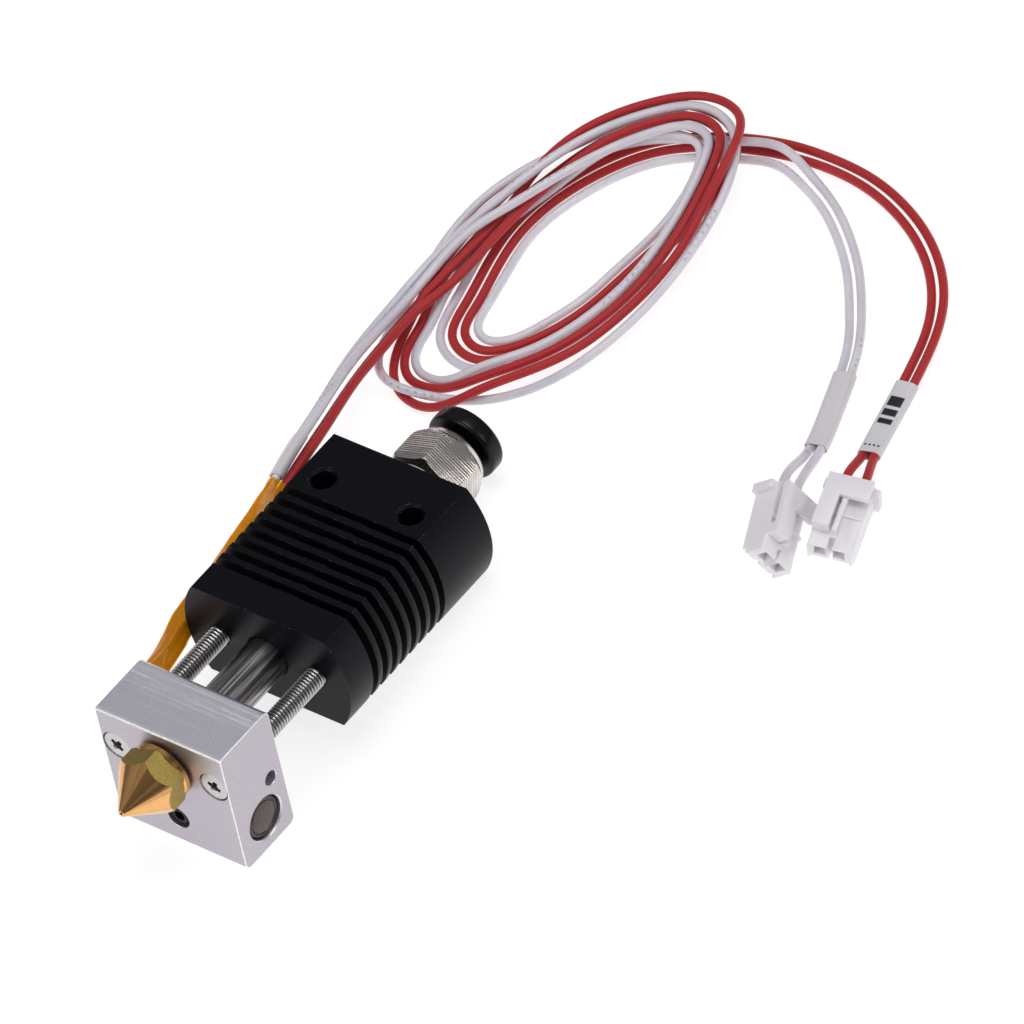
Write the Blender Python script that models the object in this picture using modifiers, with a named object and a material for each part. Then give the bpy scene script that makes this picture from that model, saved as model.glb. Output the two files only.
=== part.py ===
"""Hotend assembly: nozzle, heater block, heat break, heat sink, push-fit fitting and its wiring.

Lengths in the tables are millimetres and MM turns them into metres. The hot parts are laid out along
their own axis, y from the nozzle side of the block to the fitting and z out of the top flat of the
heat sink, and hang on one empty that lays them down on the table, nozzle end raised.
"""
import math

import bmesh
import bpy
import numpy as np
from mathutils import Matrix, Vector

MM = 0.001
ROUND_STEPS = 40
SMALL_STEPS = 24
TINY_STEPS = 16

# heater block
BLOCK_SIDE = 10.0
BLOCK_LENGTH = 10.0
BLOCK_TOP = 5.8
BLOCK_BOTTOM = -14.2
BLOCK_ROUND = 1.0
CARTRIDGE_AT = (0.0, 5.24, -9.43)
THERMISTOR_AT = (0.0, 7.7, -4.45)
SCREW_X = 7.73
GRUB_Z = -9.3

# heat sink
SINK_START = 21.5
SINK_END = 51.9
SINK_RADIUS = 13.0
SINK_FLAT = 7.5
SINK_CORE = 6.2
FIRST_GROOVE = 26.25
GROOVE_COUNT = 8
GROOVE_WIDTH = 1.15
GROOVE_PITCH = 2.03
MOUNT_HOLE_X = 7.0
MOUNT_HOLE_Y = 44.8

# fitting and collar
HEX_FITTING = 10.0
FITTING_TURN = 19.0
HEX_NOZZLE = 8.0
NOZZLE_TURN = 22.0

# wiring
WIRE_RADIUS = 0.6
LAYER_BASE = 0.66
LAYER_PITCH = 1.45
PACK_RADIUS = 0.99
PACK_PHASE = (180.0, 90.0, -90.0, 0.0)

# resting pose: the block stands on a rounded long edge and the heat sink on the rear edge of its flat
RUN = SINK_END - (BLOCK_LENGTH - BLOCK_ROUND)
DROP = -(BLOCK_BOTTOM + BLOCK_ROUND) - SINK_FLAT
TILT = math.atan2(DROP, RUN) + math.asin(BLOCK_ROUND / math.hypot(RUN, DROP))
AXIS_HEIGHT = (BLOCK_ROUND + (BLOCK_LENGTH - BLOCK_ROUND) * math.sin(TILT)
               - (BLOCK_BOTTOM + BLOCK_ROUND) * math.cos(TILT))
AXIS_SHIFT = -28.05

for old in list(bpy.data.objects):
    bpy.data.objects.remove(old, do_unlink=True)

hotend = bpy.data.collections.new("hotend_assembly")
cutters = bpy.data.collections.new("cutters")
bpy.context.scene.collection.children.link(hotend)
bpy.context.scene.collection.children.link(cutters)

laid = bpy.data.objects.new("laid_on_table", None)
laid.rotation_euler.x = -TILT
laid.location = (0.0, AXIS_SHIFT * MM, AXIS_HEIGHT * MM)
hotend.objects.link(laid)

AXES = {
    "x": (0.0, math.pi / 2, 0.0),
    "y": (-math.pi / 2, 0.0, 0.0),
    "z": (0.0, 0.0, 0.0),
}


def material(name, colour, metallic, roughness, alpha=1.0):
    """One Principled material."""
    made = bpy.data.materials.new(name)
    made.use_nodes = True
    shader = made.node_tree.nodes["Principled BSDF"]
    shader.inputs["Base Color"].default_value = (*colour, 1.0)
    shader.inputs["Metallic"].default_value = metallic
    shader.inputs["Roughness"].default_value = roughness
    shader.inputs["Alpha"].default_value = alpha
    return made


ALUMINIUM = material("block_aluminium", (0.58, 0.58, 0.60), 1.0, 0.35)
BRASS = material("nozzle_brass", (0.75, 0.55, 0.25), 1.0, 0.3)
STEEL = material("heat_break_steel", (0.45, 0.44, 0.43), 1.0, 0.3)
BLACK_METAL = material("black_anodised", (0.012, 0.012, 0.014), 0.0, 0.3)
BLACK_STEEL = material("black_steel", (0.02, 0.02, 0.02), 0.6, 0.4)
SCREW_STEEL = material("screw_steel", (0.6, 0.6, 0.6), 1.0, 0.25)
NICKEL = material("nickel_plate", (0.62, 0.58, 0.52), 1.0, 0.25)
BLACK_PLASTIC = material("black_plastic", (0.015, 0.015, 0.016), 0.0, 0.3)
RUBBER = material("black_rubber", (0.02, 0.02, 0.02), 0.0, 0.8)
PTFE = material("white_ptfe", (0.85, 0.85, 0.85), 0.0, 0.4)
CERAMIC = material("white_ceramic", (0.8, 0.78, 0.74), 0.0, 0.7)
GLASS_BEAD = material("glass_bead", (0.75, 0.55, 0.4), 0.0, 0.15)
SLEEVING = material("pale_glass_fibre", (0.8, 0.66, 0.6), 0.0, 0.7)
TAPE = material("amber_tape", (0.75, 0.38, 0.03), 0.0, 0.15)
WHITE_WIRE = material("white_wire", (0.8, 0.78, 0.8), 0.0, 0.35)
RED_WIRE = material("red_wire", (0.45, 0.02, 0.02), 0.0, 0.5)
WHITE_SLEEVE = material("white_sleeve", (0.78, 0.76, 0.78), 0.0, 0.4)
NYLON = material("white_nylon", (0.85, 0.82, 0.82), 0.0, 0.35)
CONTACT = material("tinned_contact", (0.6, 0.5, 0.35), 1.0, 0.3)


def add(name, mesh, mat=None, on_axis=True):
    """Link a mesh as a named part, or as a cutter when it has no material."""
    obj = bpy.data.objects.new(name, mesh)
    if mat is None:
        cutters.objects.link(obj)
        obj.hide_render = True
        obj.display_type = "WIRE"
    else:
        hotend.objects.link(obj)
        mesh.materials.append(mat)
    if on_axis:
        obj.parent = laid
    return obj


def turned(name, profile, mat=None, axis="y", at=(0.0, 0.0, 0.0), steps=ROUND_STEPS, closed=False,
           on_axis=True):
    """Turn a profile of (radius, height) points, listed from the high end down the outer side."""
    mesh = bpy.data.meshes.new(name)
    bm = bmesh.new()
    verts = [bm.verts.new((radius * MM, 0.0, height * MM)) for radius, height in profile]
    for first, second in zip(verts, verts[1:]):
        bm.edges.new((first, second))
    if closed:
        bm.edges.new((verts[-1], verts[0]))
    bm.to_mesh(mesh)
    bm.free()
    obj = add(name, mesh, mat, on_axis)
    obj.rotation_euler = AXES[axis]
    obj.location = Vector(at) * MM
    screw = obj.modifiers.new("turn", "SCREW")
    screw.axis = "Z"
    screw.steps = steps
    screw.render_steps = steps
    screw.use_merge_vertices = True
    screw.merge_threshold = 0.00001
    screw.use_smooth_shade = True
    return obj


def rod(name, radius, start, end, axis="y", at=(0.0, 0.0, 0.0), steps=SMALL_STEPS):
    """A plain round cutter from start to end along an axis."""
    profile = ((0.0, end), (radius, end), (radius, start), (0.0, start))
    return turned(name, profile, None, axis, at, steps)


def block(name, low, high, mat=None, on_axis=True, round_x=0.0):
    """A box between two corners, its edges along x rounded when asked."""
    low = Vector(low) * MM
    high = Vector(high) * MM
    mesh = bpy.data.meshes.new(name)
    bm = bmesh.new()
    bmesh.ops.create_cube(bm, size=1.0, matrix=Matrix.LocRotScale((low + high) / 2, None, high - low))
    if round_x:
        along = [edge for edge in bm.edges if abs(edge.verts[0].co.x - edge.verts[1].co.x) > MM]
        bmesh.ops.bevel(bm, geom=along, offset=round_x * MM, segments=4, profile=0.5, affect="EDGES")
    bm.to_mesh(mesh)
    bm.free()
    return add(name, mesh, mat, on_axis)


def hexagon(name, across, start, end, turn):
    """A hexagonal bar along y with one corner at an angle from +x towards +z."""
    mesh = bpy.data.meshes.new(name)
    bm = bmesh.new()
    corner = across / math.sqrt(3.0) * MM
    bmesh.ops.create_cone(bm, cap_ends=True, segments=6, radius1=corner, radius2=corner,
                          depth=(end - start) * MM)
    bmesh.ops.rotate(bm, verts=bm.verts, matrix=Matrix.Rotation(math.radians(-turn - 30.0), 3, "Z"))
    bm.to_mesh(mesh)
    bm.free()
    obj = add(name, mesh)
    obj.rotation_euler = AXES["y"]
    obj.location.y = (start + end) / 2 * MM
    return obj


def combine(obj, other, operation="DIFFERENCE"):
    """Add one exact boolean."""
    boolean = obj.modifiers.new(other.name, "BOOLEAN")
    boolean.operation = operation
    boolean.solver = "EXACT"
    boolean.object = other


def chamfered_hole(name, radius, rim, start, end, axis, at):
    """A round cutter that widens to the rim radius at both of its faces."""
    flare = rim - radius
    profile = ((0.0, end + 1.0), (rim, end + 1.0), (rim, end), (radius, end - flare),
               (radius, start + flare), (rim, start), (rim, start - 1.0), (0.0, start - 1.0))
    return turned(name, profile, None, axis, at, SMALL_STEPS)


# ---------------------------------------------------------------- heater block
heater_block = block("heater_block", (-BLOCK_SIDE, 0.0, BLOCK_BOTTOM), (BLOCK_SIDE, BLOCK_LENGTH, BLOCK_TOP),
                     ALUMINIUM, round_x=BLOCK_ROUND)
combine(heater_block, rod("cut_nozzle_thread", 3.3, -1.0, 11.0))
combine(heater_block, rod("cut_cartridge_bore", 3.3, -11.0, 11.0, "x", CARTRIDGE_AT))
combine(heater_block, rod("cut_thermistor_bore", 0.9, -11.0, 11.0, "x", THERMISTOR_AT, TINY_STEPS))
combine(heater_block, rod("cut_grub_hole", 1.75, -1.0, 4.0, "y", (0.0, 0.0, GRUB_Z)))
SCREW_HOLE = ((0.0, 11.0), (1.75, 11.0), (1.75, 1.55), (2.4, 0.6), (2.4, -1.0), (0.0, -1.0))

# ---------------------------------------------------------------- nozzle
nozzle = turned("nozzle", (
    (0.0, -1.2), (4.62, -1.2), (4.62, -3.58), (0.55, -9.0), (0.45, -9.13), (0.0, -9.13)), BRASS)
combine(nozzle, hexagon("cut_nozzle_hex", HEX_NOZZLE, -10.0, -1.25, NOZZLE_TURN), "INTERSECT")
combine(nozzle, turned("cut_nozzle_thread_end", (
    (0.0, 4.7), (2.6, 4.7), (2.95, 4.35), (2.95, -0.3), (4.2, -0.4), (4.4, -0.6), (4.4, -1.2), (4.0, -1.6),
    (0.0, -1.6))), "UNION")
combine(nozzle, turned("cut_nozzle_bore", (
    (0.0, 5.7), (1.0, 5.7), (1.0, -6.4), (0.2, -8.3), (0.2, -10.0), (0.0, -10.0)), steps=TINY_STEPS))

# ---------------------------------------------------------------- heat break and liner
heat_break = turned("heat_break", (
    (2.3, 27.0), (3.05, 27.0), (3.05, 5.0), (2.3, 5.0)), STEEL, closed=True)
ptfe_liner = turned("ptfe_liner", (
    (1.0, 54.0), (2.0, 54.0), (2.0, 5.0), (1.0, 5.0)), PTFE, steps=SMALL_STEPS, closed=True)

# ---------------------------------------------------------------- heat sink
outline = [(3.35, SINK_END), (SINK_RADIUS, SINK_END)]
for index in reversed(range(GROOVE_COUNT)):
    near = FIRST_GROOVE + index * GROOVE_PITCH
    far = near + GROOVE_WIDTH
    outline += [(SINK_RADIUS, far), (SINK_CORE, far), (SINK_CORE, near), (SINK_RADIUS, near)]
outline += [(SINK_RADIUS, SINK_START), (3.4, SINK_START), (3.4, 27.3), (2.35, 27.3), (2.35, 45.2), (3.35, 45.2)]
heat_sink = turned("heat_sink", outline, BLACK_METAL, closed=True)
combine(heat_sink, block("cut_sink_flats", (-14.0, 20.0, -SINK_FLAT), (14.0, 53.0, SINK_FLAT)), "INTERSECT")
for side, label in ((-1, "left"), (1, "right")):
    combine(heat_sink, chamfered_hole(f"cut_mount_hole_{label}", 1.65, 1.95, -SINK_FLAT, SINK_FLAT, "z",
                                      (side * MOUNT_HOLE_X, MOUNT_HOLE_Y, 0.0)))
    combine(heat_sink, rod(f"cut_screw_tap_{label}", 1.75, 20.0, 26.5, "y", (side * SCREW_X, 0.0, 0.0)))

# ---------------------------------------------------------------- standoff screws
for side, label in ((-1, "left"), (1, "right")):
    at = (side * SCREW_X, 0.0, 0.0)
    screw = turned(f"standoff_screw_{label}", (
        (0.0, 26.2), (1.15, 26.2), (1.45, 25.9), (1.45, 1.3), (2.1, 0.45), (2.1, 0.12), (0.0, 0.12)),
        SCREW_STEEL, at=at, steps=SMALL_STEPS)
    for arm, (half_x, half_z) in (("a", (1.3, 0.28)), ("b", (0.28, 1.3))):
        combine(screw, block(f"cut_recess_{label}_{arm}", (at[0] - half_x, -0.5, -half_z),
                             (at[0] + half_x, 1.2, half_z)))
    combine(heater_block, turned(f"cut_screw_hole_{label}", SCREW_HOLE, at=at, steps=SMALL_STEPS))

# ---------------------------------------------------------------- heater cartridge
cartridge_sheath = turned("cartridge_sheath", (
    (0.0, 9.8), (2.7, 9.8), (3.0, 9.5), (3.0, -10.6), (2.5, -10.6), (2.5, 9.2), (0.0, 9.2)),
    STEEL, "x", CARTRIDGE_AT, SMALL_STEPS)
cartridge_core = turned("cartridge_core", (
    (0.0, 8.9), (2.2, 8.9), (2.2, -7.6), (0.0, -7.6)), CERAMIC, "x", CARTRIDGE_AT, SMALL_STEPS)
cartridge_seal = turned("cartridge_seal", (
    (0.0, -7.9), (2.2, -7.9), (2.2, -10.4), (0.0, -10.4)), CERAMIC, "x", CARTRIDGE_AT, SMALL_STEPS)
grub = turned("cartridge_set_screw", (
    (0.0, 1.95), (1.2, 1.95), (1.45, 1.7), (1.45, 0.5), (1.25, 0.3), (0.0, 0.3)),
    BLACK_STEEL, at=(0.0, 0.0, GRUB_Z), steps=SMALL_STEPS)
combine(grub, turned("cut_grub_socket", ((0.0, 1.3), (0.85, 1.3), (0.85, -0.5), (0.0, -0.5)),
                     at=(0.0, 0.0, GRUB_Z), steps=6))

# ---------------------------------------------------------------- push-fit fitting
fitting_body = turned("fitting_body", (
    (3.4, 61.6), (4.4, 61.6), (4.75, 61.3), (4.95, 60.4), (5.3, 60.3), (5.78, 60.0), (5.78, 54.9),
    (5.3, 54.6), (3.9, 54.5), (3.9, 52.25), (2.95, 52.25), (2.95, 45.9), (2.7, 45.6), (2.3, 45.6),
    (2.3, 54.4), (1.2, 54.4), (1.2, 55.4), (2.3, 56.2), (3.4, 56.2)), NICKEL, closed=True)
combine(fitting_body, hexagon("cut_fitting_hex", HEX_FITTING, 44.0, 63.0, FITTING_TURN), "INTERSECT")
RING = [(2.7 + 0.38 * math.cos(a * math.pi / 5), 57.0 - 0.38 * math.sin(a * math.pi / 5)) for a in range(10)]
fitting_o_ring = turned("fitting_o_ring", RING, RUBBER, steps=SMALL_STEPS, closed=True)
lock_claw = turned("fitting_lock_claw", (
    (2.1, 58.75), (3.1, 58.05), (3.1, 57.75), (2.1, 58.45)), SCREW_STEEL, steps=SMALL_STEPS, closed=True)
for index in range(3):
    slot = block(f"cut_claw_slot_{index}", (-2.7, 57.0, -0.2), (2.7, 59.5, 0.2))
    slot.rotation_euler.y = index * math.pi / 3
    combine(lock_claw, slot)
release_collar = turned("release_collar", (
    (2.6, 65.2), (4.75, 65.2), (5.04, 65.08), (5.15, 64.8), (5.15, 63.1), (5.04, 62.82), (4.75, 62.7),
    (2.95, 62.7), (2.95, 60.2), (2.75, 60.0), (2.2, 60.0), (2.2, 64.8)), BLACK_PLASTIC, closed=True)
for label, (half_x, half_z) in (("a", (4.0, 0.25)), ("b", (0.25, 4.0))):
    combine(release_collar, block(f"cut_collar_slot_{label}", (-half_x, 59.0, -half_z),
                                  (half_x, 61.8, half_z)))


# ---------------------------------------------------------------- wiring routes
# Each route is drawn on the table top. The two white wires come first, then the two red ones.
# Beside the heat sink: centre of the 2 x 2 pack, its turn in degrees and how far the red pair stands off.
PACK = (
    (-14.1, -12.0, 9.6, 180.0, 0.0), (-15.3, -5.0, 9.3, 145.0, 0.0), (-15.4, 2.0, 9.2, 95.0, 0.0),
    (-15.4, 9.0, 9.5, 50.0, 0.0), (-15.5, 15.0, 10.3, 15.0, 0.0), (-16.1, 21.0, 10.8, 0.0, 0.4),
    (-17.2, 28.0, 10.0, 0.0, 0.5),
)
# The coil: centre line x, y, then lane and layer of each wire. Lane + is the outer side of the loops.
COIL = (
    (-19.3, 36.5, (1.5, 5.6), (0.3, 6.3), (-0.2, 4.7), (-1.2, 5.5)),
    (-21.2, 44.0, (1.7, 3.7), (0.3, 4.2), (-0.4, 2.9), (-1.6, 3.7)),
    (-21.4, 51.0, (1.7, 3.1), (0.2, 3.4), (-0.4, 2.3), (-1.8, 3.1)),
    (-20.4, 57.0, (2.4, 3.0), (0.8, 3.4), (-0.7, 3.0), (-2.4, 3.0)),
    (-19.0, 63.5, (2.3, 3.4), (0.6, 4.1), (-0.3, 3.0), (-1.9, 3.0)),
    (-17.2, 70.0, (1.7, 4.1), (-0.4, 4.1), (0.9, 3.0), (-0.9, 3.0)),
    (-15.0, 77.2, (1.1, 4.5), (-1.7, 4.2), (2.3, 3.8), (-0.6, 3.3)),
    (-11.6, 84.2, (0.8, 4.5), (-2.4, 4.2), (2.4, 4.4), (-0.8, 4.1)),
    (-7.2, 89.6, (0.8, 4.2), (-2.4, 4.1), (2.4, 4.2), (-0.8, 4.1)),
    (-2.0, 92.6, (0.8, 4.2), (-2.4, 4.1), (2.4, 4.3), (-0.8, 4.1)),
    (2.6, 91.5, (0.9, 4.1), (-2.4, 4.1), (2.4, 4.8), (-0.8, 4.1)),
    (4.9, 87.5, (1.7, 4.0), (-2.4, 4.0), (1.6, 5.1), (-0.8, 4.0)),
    (5.7, 81.5, (2.4, 3.3), (-2.4, 3.3), (0.8, 3.7), (-0.8, 3.3)),
    (5.9, 75.0, (2.4, 2.6), (-2.4, 2.6), (0.8, 2.6), (-0.8, 2.6)),
    (5.4, 68.5, (2.4, 2.1), (-2.4, 2.1), (0.8, 2.1), (-0.8, 2.1)),
    (4.2, 62.0, (2.4, 1.8), (-2.4, 2.1), (0.8, 2.1), (-0.8, 2.1)),
    (2.0, 56.0, (2.4, 1.4), (-2.4, 2.1), (0.8, 2.0), (-0.8, 2.1)),
    (-1.6, 50.4, (2.4, 1.0), (-2.4, 2.1), (0.8, 2.1), (-0.8, 2.1)),
    (-6.4, 45.6, (1.9, 1.0), (-2.2, 2.0), (1.6, 2.2), (-0.8, 1.8)),
    (-11.6, 42.6, (1.0, 1.35), (-1.95, 1.0), (2.6, 1.2), (-0.65, 1.0)),
    (-16.6, 42.4, (2.0, 2.4), (-2.4, 1.0), (1.2, 1.0), (-0.8, 1.0)),
    (-19.8, 45.6, (2.3, 1.5), (-2.4, 1.0), (0.3, 1.0), (-1.0, 1.0)),
    (-20.9, 50.5, (2.4, 1.0), (-2.5, 1.1), (0.5, 1.0), (-1.1, 1.0)),
    (-21.3, 56.0, (2.4, 1.3), (-2.4, 1.9), (0.8, 1.5), (-0.8, 1.7)),
    (-21.1, 62.0, (2.4, 2.2), (-2.4, 2.1), (0.8, 2.0), (-0.8, 2.1)),
    (-20.2, 69.0, (2.3, 2.7), (-2.4, 2.0), (1.1, 2.0), (-0.8, 2.0)),
    (-17.6, 76.5, (1.5, 3.05), (-2.4, 2.0), (2.0, 2.1), (-0.8, 2.15)),
    (-14.2, 83.2, (0.8, 2.9), (-2.4, 2.8), (2.4, 2.7), (-0.8, 2.8)),
    (-9.6, 88.8, (0.8, 3.0), (-2.4, 3.0), (2.4, 3.0), (-0.8, 3.0)),
    (-4.0, 91.6, (0.8, 3.0), (-2.4, 3.0), (2.4, 3.0), (-0.8, 3.0)),
    (0.8, 91.0, (0.8, 3.0), (-2.4, 3.0), (2.4, 3.0), (-0.8, 3.0)),
    (3.6, 87.6, (0.8, 2.6), (-2.4, 3.0), (2.4, 3.1), (-0.8, 3.0)),
    (4.4, 81.5, (1.7, 1.4), (-2.4, 2.2), (1.6, 2.5), (-0.8, 2.2)),
    (3.4, 75.0, (2.4, 1.0), (-2.4, 1.4), (0.8, 1.6), (-0.8, 1.4)),
    (1.6, 68.5, (2.4, 1.0), (-2.4, 1.0), (0.8, 1.0), (-0.8, 1.0)),
    (0.0, 62.0, (2.4, 1.0), (-2.4, 1.0), (0.8, 1.0), (-0.8, 1.0)),
    (-2.6, 56.4, (2.4, 1.0), (-2.4, 1.0), (0.8, 1.0), (-0.8, 1.0)),
    (-6.2, 52.0, (2.4, 1.0), (-2.1, 1.0), (0.8, 1.0), (-0.75, 1.0)),
    (-10.4, 50.2, (2.6, 1.0), (-2.3, 1.0), (1.0, 1.0), (-0.6, 1.0)),
    (-13.9, 51.8, (2.8, 1.0), (-2.3, 1.0), (1.2, 1.0), (-0.5, 1.0)),
    (-15.4, 56.4, (2.5, 1.0), (-2.1, 1.0), (0.9, 1.0), (-0.7, 1.0)),
    (-16.4, 62.0, (2.4, 1.0), (-2.4, 1.0), (0.8, 1.0), (-0.8, 1.0)),
    (-16.9, 69.0, (2.4, 1.0), (-2.4, 1.0), (0.8, 1.0), (-0.8, 1.0)),
    (-15.2, 76.0, (2.4, 1.3), (-2.4, 1.0), (0.9, 1.0), (-0.7, 1.0)),
    (-12.0, 82.0, (1.8, 1.8), (-2.3, 1.0), (1.1, 1.0), (-0.6, 1.0)),
    (-7.6, 87.0, (0.6, 2.1), (-2.1, 1.0), (1.3, 1.0), (-0.4, 1.0)),
    (-2.6, 90.2, (-0.2, 2.1), (-2.0, 1.0), (1.4, 1.0), (-0.3, 1.0)),
    (3.0, 92.4, (-0.3, 2.1), (-2.0, 1.0), (1.5, 1.0), (-0.3, 1.0)),
)
# The tails to the plugs: centre line of the pair, half the spacing, layer of the first and second wire.
WHITE_TAIL = (
    (9.4, 92.8, 0.9, 2.1, 1.0), (14.4, 91.4, 0.8, 1.5, 1.0), (19.2, 89.2, 0.8, 1.0, 1.0),
    (24.0, 85.8, 0.8, 1.0, 1.0), (28.4, 81.6, 0.8, 1.0, 1.0), (32.2, 76.6, 0.8, 1.0, 1.0),
    (35.4, 71.4, 0.75, 1.1, 1.1), (37.5, 66.0, 0.75, 1.3, 1.3), (39.1, 60.4, 0.75, 1.3, 1.3),
    (40.5, 54.8, 0.75, 1.5, 1.5),
)
RED_TAIL = (
    (9.6, 94.6, 0.9, 1.0, 1.0), (15.6, 95.0, 0.8, 1.0, 1.0), (21.8, 94.5, 0.8, 1.0, 1.0),
    (27.8, 92.8, 0.8, 1.0, 1.0), (33.4, 90.0, 0.8, 1.0, 1.0), (38.0, 86.4, 0.8, 1.0, 1.0),
    (41.4, 82.2, 0.8, 1.0, 1.0), (43.6, 77.6, 0.75, 1.1, 1.1), (45.0, 72.6, 0.75, 1.3, 1.3),
    (46.1, 66.0, 0.75, 1.3, 1.3), (47.0, 60.6, 0.75, 1.5, 1.5), (47.9, 56.6, 0.85, 1.9, 1.9),
)
# Plugs: centre of the wire end, direction to the mating end, roll about it in degrees.
PLUG_LENGTH = 10.5
PLUG_HALF_WIDTH = 2.95
PLUG_HEIGHT = 5.5
FLANGE_HALF_WIDTH = 3.7
CAVITY_PITCH = 2.5
CAVITY_HALF = 0.95
WIRE_DEPTH = 2.2
PLUGS = {
    "thermistor": ((43.3, 46.0), (0.38, -0.925), 66.0),
    "heater": ((49.8, 51.2), (0.28, -0.96), 12.0),
}
LEAD_SPREAD = 0.3


def laid_point(point):
    """A point of the hot parts in table millimetres."""
    x, y, z = point
    return (x, y * math.cos(TILT) + z * math.sin(TILT) + AXIS_SHIFT,
            -y * math.sin(TILT) + z * math.cos(TILT) + AXIS_HEIGHT)


def plug_frame(kind):
    """Origin and axes of a plug, x across its two cavities, y to its mating end, z out of its window side."""
    (x, y), direction, roll = PLUGS[kind]
    roll = math.radians(roll)
    forward = Vector((*direction, 0.0)).normalized()
    side = Vector((forward.y, -forward.x, 0.0))
    across = side * math.cos(roll) + Vector((0.0, 0.0, math.sin(roll)))
    out = across.cross(forward)
    half = PLUG_HEIGHT / 2 + 0.1
    height = FLANGE_HALF_WIDTH * math.sin(roll) + half * math.cos(roll) + 0.05
    return Vector((x, y, height)), across, forward, out


def flat_normals(centres):
    """Left-hand normal of a flat centre line at each of its points."""
    line = np.array(centres, dtype=float)
    along = np.gradient(line, axis=0)
    along /= np.linalg.norm(along, axis=1)[:, None]
    return np.stack((-along[:, 1], along[:, 0]), axis=1)


def layer_height(layer):
    """Height of a wire centre in a layer of the coil."""
    return LAYER_BASE + (layer - 1.0) * LAYER_PITCH


def pack_point(station, wire):
    """Centre of one wire in the 2 x 2 pack."""
    x, y, z, turn, apart = station
    angle = math.radians(PACK_PHASE[wire] + turn)
    shift = apart * math.sqrt(0.5) if wire >= 2 else 0.0
    return (x + PACK_RADIUS * math.cos(angle) + shift, y, z + PACK_RADIUS * math.sin(angle) - shift)


HEATER_LEADS = (
    ((-10.9, -24.33, 6.05), (-12.3, -24.1, 6.3), (-13.9, -22.9, 7.2), (-14.9, -20.0, 9.2),
     (-14.8, -16.0, 10.4)),
    ((-10.9, -24.33, 4.55), (-13.0, -24.1, 4.6), (-15.4, -22.2, 5.7), (-16.3, -19.2, 7.4),
     (-15.7, -15.6, 8.9)),
)


def wire_route(wire):
    """Hand-chosen route points of one wire from the block to its plug."""
    heater = wire >= 2
    if heater:
        points = list(HEATER_LEADS[wire - 2])
    else:
        x, _, z = pack_point(PACK[0], wire)
        points = [(x, -14.7, z)]
    points += [pack_point(station, wire) for station in PACK]
    for row, normal in zip(COIL, flat_normals([row[:2] for row in COIL])):
        lane, layer = row[2 + wire]
        points.append((row[0] + normal[0] * lane, row[1] + normal[1] * lane, layer_height(layer)))
    tail = RED_TAIL if heater else WHITE_TAIL
    normals = flat_normals([COIL[-1][:2]] + [row[:2] for row in tail])[1:]
    second = wire % 2
    side = -1.0 if second else 1.0
    for row, normal in zip(tail, normals):
        lane = row[2] * side
        points.append((row[0] + normal[0] * lane, row[1] + normal[1] * lane, layer_height(row[3 + second])))
    origin, across, forward, _ = plug_frame("heater" if heater else "thermistor")
    cavity = origin - across * (CAVITY_PITCH / 2 * side)
    points.append(tuple(cavity - forward * 1.6))
    points.append(tuple(cavity + forward * WIRE_DEPTH))
    return points


def smooth_curve(points, samples=1500):
    """Dense natural cubic curve through the points, spaced by chord length."""
    knots = np.array(points, dtype=float)
    chord = np.linalg.norm(np.diff(knots, axis=0), axis=1)
    place = np.concatenate(([0.0], np.cumsum(chord)))
    size = len(knots)
    system = np.eye(size)
    target = np.zeros((size, 3))
    for i in range(1, size - 1):
        system[i, i - 1:i + 2] = (chord[i - 1], 2.0 * (chord[i - 1] + chord[i]), chord[i])
        target[i] = 6.0 * ((knots[i + 1] - knots[i]) / chord[i] - (knots[i] - knots[i - 1]) / chord[i - 1])
    bend = np.linalg.solve(system, target)
    at = np.linspace(0.0, place[-1], samples)
    i = np.clip(np.searchsorted(place, at) - 1, 0, size - 2)
    step = chord[i]
    a = ((place[i + 1] - at) / step)[:, None]
    b = 1.0 - a
    curve = a * knots[i] + b * knots[i + 1]
    curve += ((a ** 3 - a) * bend[i] + (b ** 3 - b) * bend[i + 1]) * (step ** 2)[:, None] / 6.0
    curve[:, 2] = np.maximum(curve[:, 2], WIRE_RADIUS + 0.02)
    return curve


def thin_out(curve, straight=8.0, turn=36.0):
    """Keep points more closely where the curve bends, so a chord stays near it."""
    chord = np.diff(curve, axis=0)
    length = np.linalg.norm(chord, axis=1)
    unit = chord / length[:, None]
    angle = np.degrees(np.arccos(np.clip(np.sum(unit[1:] * unit[:-1], axis=1), -1.0, 1.0)))
    cost = np.concatenate(([0.0], np.cumsum(length / straight + np.concatenate((angle, [0.0])) / turn)))
    wanted = np.linspace(0.0, cost[-1], int(math.ceil(cost[-1])) + 1)
    return curve[np.searchsorted(cost, wanted - 1e-9)]


def poly_curve(name, points, closed=False):
    """A poly spline through points given in millimetres."""
    curve = bpy.data.curves.new(name, "CURVE")
    curve.dimensions = "3D"
    spline = curve.splines.new("POLY")
    spline.points.add(len(points) - 1)
    for target, point in zip(spline.points, points):
        target.co = (point[0] * MM, point[1] * MM, point[2] * MM, 1.0)
    spline.use_cyclic_u = closed
    return bpy.data.objects.new(name, curve)


def curve_mesh(obj, name):
    """Turn a bevelled curve into a welded mesh and drop the curve."""
    bpy.context.scene.collection.objects.link(obj)
    mesh = bpy.data.meshes.new_from_object(obj.evaluated_get(bpy.context.evaluated_depsgraph_get()))
    mesh.name = name
    curve = obj.data
    bpy.data.objects.remove(obj, do_unlink=True)
    bpy.data.curves.remove(curve)
    bm = bmesh.new()
    bm.from_mesh(mesh)
    bmesh.ops.remove_doubles(bm, verts=bm.verts, dist=0.00001)
    bmesh.ops.recalc_face_normals(bm, faces=bm.faces)
    bm.to_mesh(mesh)
    bm.free()
    mesh.materials.clear()
    return mesh


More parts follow.
